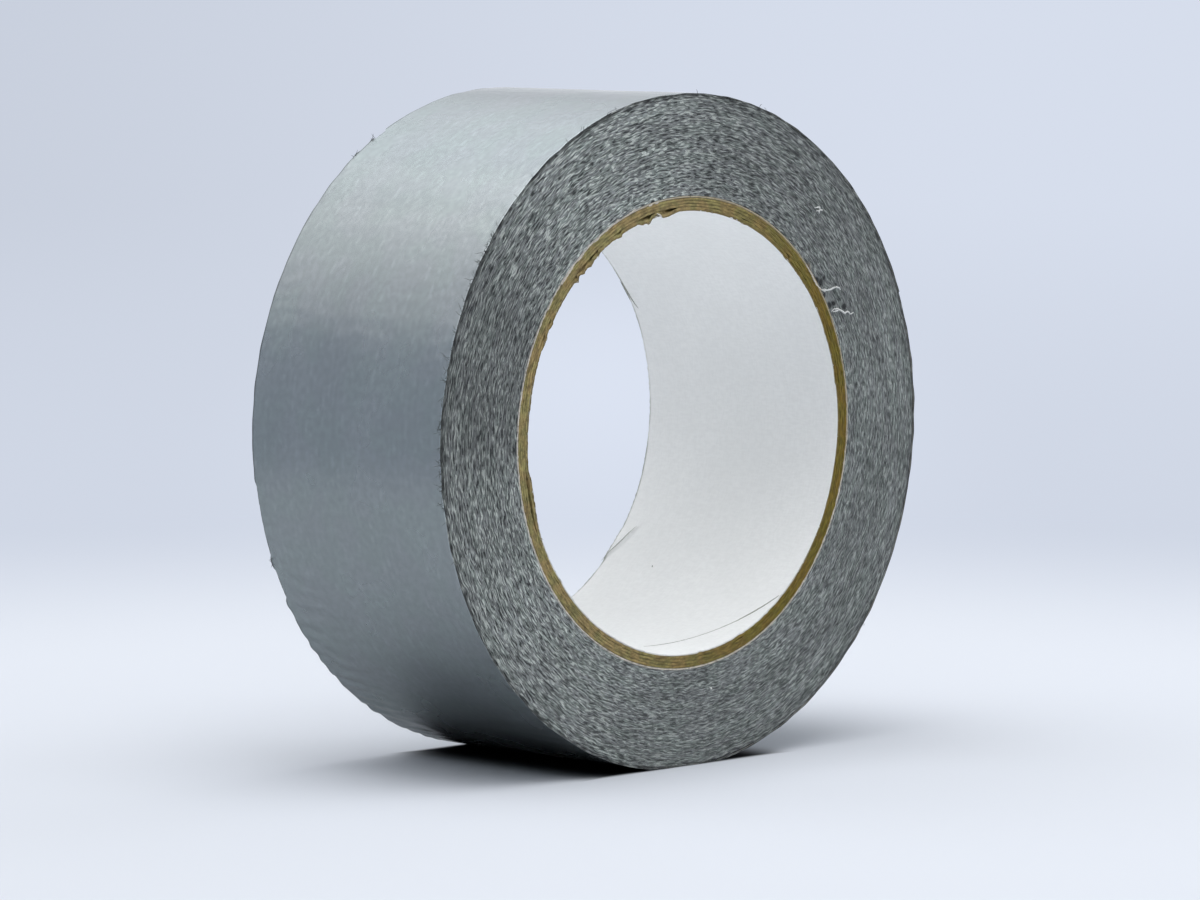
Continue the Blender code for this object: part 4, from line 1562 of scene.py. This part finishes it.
@dataclass
class Studio:
    """Pale floor with a painted contact shadow under the roll and painted light on its far part, soft light
    from above and round about, and the camera.
    """

    winding: Winding
    floor_colour: Colour = (0.71, 0.742, 0.80)
    far_colour: Colour = (0.63, 0.68, 0.785)
    sky_colour: Colour = (0.987, 1.0, 1.022)
    floor_radius: float = 12.0
    floor_drop: float = 0.05 * MM
    floor_roughness: float = 0.9
    # Painted contact shadow: how dark, how wide and how long the patch under the roll is.
    painted_shadow_tone: float = 0.03
    painted_shadow_reach: tuple[float, float] = (14 * MM, 31 * MM)
    painted_shadow_ends: tuple[float, float] = (21.5 * MM, 25 * MM)
    fade_start: float = 0.16
    fade_end: float = 0.42
    sky_patches: tuple[Patch, ...] = (
        Patch(0, 90, 0.25),
        Patch(315, 58, 1.47),
        Patch(225, 58, 0.69),
        Patch(180, 58, 0.55),
        Patch(0, 32, 0.50),
        Patch(45, 8, 0.95),
        Patch(90, 8, 2.65),
        Patch(135, 8, 1.30),
    )
    sky_reach: float = math.radians(42)
    # Painted light on the far background: darker to the left, lighter to the right, and a pool of light
    # behind the roll.
    left_shade: float = 0.92
    right_shade: float = 1.07
    shade_edges: tuple[float, float] = (-0.13, 0.07)
    pool_glow: float = 0.12
    pool_depth: float = 1.85
    pool_reach: tuple[float, float] = (0.13, 0.9)
    depth_edges: tuple[float, float] = (1.3, 3.2)
    softbox_power: float = 5.6
    softbox_size: float = 1.1
    softbox_place: tuple[float, float, float] = (0.0, -0.25, 1.30)
    cards: tuple[Patch, ...] = (
        Patch(40, 14, 0.85, 0.0),
        Patch(-60, 34, 0.96, 0.09),
        Patch(-40, 34, 0.46, 0.09),
        Patch(-20, 34, 0.99, 0.06),
        Patch(0, 34, 0.85, 0.04),
        Patch(20, 34, 1.92, 0.01),
        Patch(40, 34, 1.90, 0.0),
        Patch(-40, 54, 0.55, 0.09),
        Patch(-20, 54, 2.08, 0.06),
        Patch(0, 54, 2.05, 0.03),
        Patch(20, 54, 1.86, 0.0),
    )
    card_span: float = math.radians(20)
    card_distance: float = 2.0
    focal_pixels: float = 5999.0
    picture_width: float = 1200.0
    sensor_width: float = 36.0
    camera_from_axis: tuple[float, float, float] = (-0.7401, -0.7448, 0.0901)
    camera_yaw: float = math.radians(44.904)
    camera_pitch: float = math.radians(5.148)

    @staticmethod
    def seen_rays(graph: Graph) -> Socket:
        """1 for rays that the camera sees straight or in gloss and glass, 0 for those that only light."""
        rays = graph.add("ShaderNodeLightPath").outputs
        straight = graph.math("MAXIMUM", rays["Is Camera Ray"], rays["Is Transmission Ray"])
        return graph.math("MAXIMUM", straight, rays["Is Glossy Ray"])

    def build_floor(self) -> None:
        """A wide floor, painted nearly black right under the roll as a painted contact shadow, that fades
        into the far background.
        """
        bpy.ops.mesh.primitive_circle_add(vertices=128, radius=self.floor_radius, fill_type="TRIFAN")
        floor = bpy.context.object
        floor.name = "studio_floor"
        floor.location.z = -self.floor_drop
        material = bpy.data.materials.new("studio_floor")
        material.use_nodes = True
        nodes = material.node_tree.nodes
        shader = nodes["Principled BSDF"]
        shader.inputs["Roughness"].default_value = self.floor_roughness
        shader.inputs["Specular IOR Level"].default_value = 0.0
        graph = Graph(material.node_tree)
        place = graph.add("ShaderNodeTexCoord").outputs["Object"]
        # Painted shadow: the floor's colour goes nearly black right under the roll, where the contact shadow
        # falls.
        across, along, _ = (graph.math("ABSOLUTE", part) for part in graph.separate(place))
        beside = graph.rise(across, *self.painted_shadow_reach)
        beyond = graph.rise(along, *self.painted_shadow_ends)
        clear = graph.rise(graph.math("MAXIMUM", beside, beyond), 0.0, 1.0, self.painted_shadow_tone, 1.0)
        base = graph.mix(clear, (0, 0, 0, 1), (*self.floor_colour, 1))
        graph.feed(shader.inputs["Base Color"], base)
        distance = graph.distance(place, (0.0, 0.0, 0.0))
        far = graph.product(graph.rise(distance, self.fade_start, self.fade_end), self.seen_rays(graph))
        # Painted light: the far background's glow changes from left to right and has a painted pool of light
        # behind the roll.
        right = Vector((math.cos(self.camera_yaw), -math.sin(self.camera_yaw), 0))
        ahead = Vector((math.sin(self.camera_yaw), math.cos(self.camera_yaw), 0))
        stand = Vector(self.camera_from_axis)
        aside = graph.math("SUBTRACT", graph.dot(place, right), stand.dot(right))
        deep = graph.math("SUBTRACT", graph.dot(place, ahead), stand.dot(ahead))
        sideways = graph.math("DIVIDE", aside, deep)
        tilt = graph.rise(sideways, *self.shade_edges, self.left_shade - 1, self.right_shade - 1)
        tilt = graph.product(tilt, graph.rise(deep, *self.depth_edges))
        wide, long = self.pool_reach
        from_pool = graph.math("SUBTRACT", deep, self.pool_depth)
        pool = graph.combine(graph.product(aside, 1 / wide), graph.product(from_pool, 1 / long), 0.0)
        pool = graph.rise(graph.distance(pool, (0.0, 0.0, 0.0)), 0.0, 1.0, self.pool_glow, 0.0)
        shade = graph.total(1.0, tilt, pool)
        glow = graph.add("ShaderNodeEmission", {"Color": (*self.far_colour, 1), "Strength": shade})
        blend = graph.add("ShaderNodeMixShader", {0: far, 1: shader.outputs[0], 2: glow.outputs[0]})
        graph.feed(nodes["Material Output"].inputs["Surface"], blend.outputs[0])
        floor.data.materials.append(material)

    def add_lamp(self, name: str, size: tuple[float, float], power: float, place: Vector) -> bpy.types.Object:
        """An area lamp that points at the roll.

        Args:
            name: name of the lamp.
            size: its width and height in metres.
            power: its power in watts.
            place: where it hangs.

        Returns:
            The lamp.
        """
        data = bpy.data.lights.new(name, "AREA")
        data.shape = "RECTANGLE"
        data.size, data.size_y = size
        data.energy = power
        lamp = bpy.data.objects.new(name, data)
        lamp.location = place
        aim = Vector((0, 0, self.winding.axis_height)) - place
        lamp.rotation_euler = aim.to_track_quat("-Z", "Y").to_euler()
        bpy.context.scene.collection.objects.link(lamp)
        return lamp

    def build_world(self) -> None:
        """A sky of soft patches that lights the roll, seen as the plain far background."""
        world = bpy.data.worlds.new("studio_sky")
        world.use_nodes = True
        bpy.context.scene.world = world
        graph = Graph(world.node_tree)
        sky = world.node_tree.nodes["Background"]
        sky.inputs["Color"].default_value = (*self.sky_colour, 1)
        way = graph.add("ShaderNodeTexCoord").outputs["Generated"]
        edge = math.cos(self.sky_reach)
        glows = [graph.rise(graph.dot(way, p.way()), edge, 1.0, 0.0, p.strength) for p in self.sky_patches]
        graph.feed(sky.inputs["Strength"], graph.total(*glows))
        seen = graph.add("ShaderNodeBackground", {"Color": (*self.far_colour, 1), "Strength": 1.0})
        ends = {0: self.seen_rays(graph), 1: sky.outputs[0], 2: seen.outputs[0]}
        blend = graph.add("ShaderNodeMixShader", ends)
        graph.feed(world.node_tree.nodes["World Output"].inputs["Surface"], blend.outputs[0])

    def build_lamps(self) -> None:
        """A softbox overhead, and cards behind the roll that only gloss shows."""
        size = (self.softbox_size, self.softbox_size)
        self.add_lamp("softbox", size, self.softbox_power, Vector(self.softbox_place))
        height = 2 * self.card_distance * math.tan(self.card_span / 2)
        for patch in self.cards:
            width = height * math.hypot(*patch.way()[:2])
            power = patch.strength * math.pi * width * height
            place = patch.way() * self.card_distance
            card = self.add_lamp("sheen_card", (width, height), power, place)
            card.data.color = (1 + patch.warmth, 1.0, 1 - patch.warmth)
            card.visible_diffuse = False

    def build_camera(self) -> None:
        """The camera at the photograph's place, with its long lens."""
        data = bpy.data.cameras.new("photo_camera")
        data.sensor_width = self.sensor_width
        data.lens = self.focal_pixels * self.sensor_width / self.picture_width
        data.clip_end = 40.0
        camera = bpy.data.objects.new("photo_camera", data)
        camera.location = Vector(self.camera_from_axis) + Vector((0, 0, self.winding.axis_height))
        level = math.cos(self.camera_pitch)
        beside, ahead = math.sin(self.camera_yaw) * level, math.cos(self.camera_yaw) * level
        aim = Vector((beside, ahead, -math.sin(self.camera_pitch)))
        camera.rotation_euler = aim.to_track_quat("-Z", "Y").to_euler()
        bpy.context.scene.collection.objects.link(camera)
        bpy.context.scene.camera = camera

    def build(self) -> None:
        """The whole studio, with plain colour handling."""
        self.build_floor()
        self.build_world()
        self.build_lamps()
        self.build_camera()
        bpy.context.scene.view_settings.view_transform = "Standard"


def main() -> None:
    """Builds the roll's pieces and the studio."""
    logging.basicConfig(level=logging.INFO, format="%(message)s")
    winding = Winding.from_frame()
    finishes = Finishes(Effects(winding))
    for part in (WoundTurns, LastTurn, PaperCore, LooseFibres):
        part(winding, finishes).build()
    Studio(winding).build()


if __name__ == "__main__":
    main()
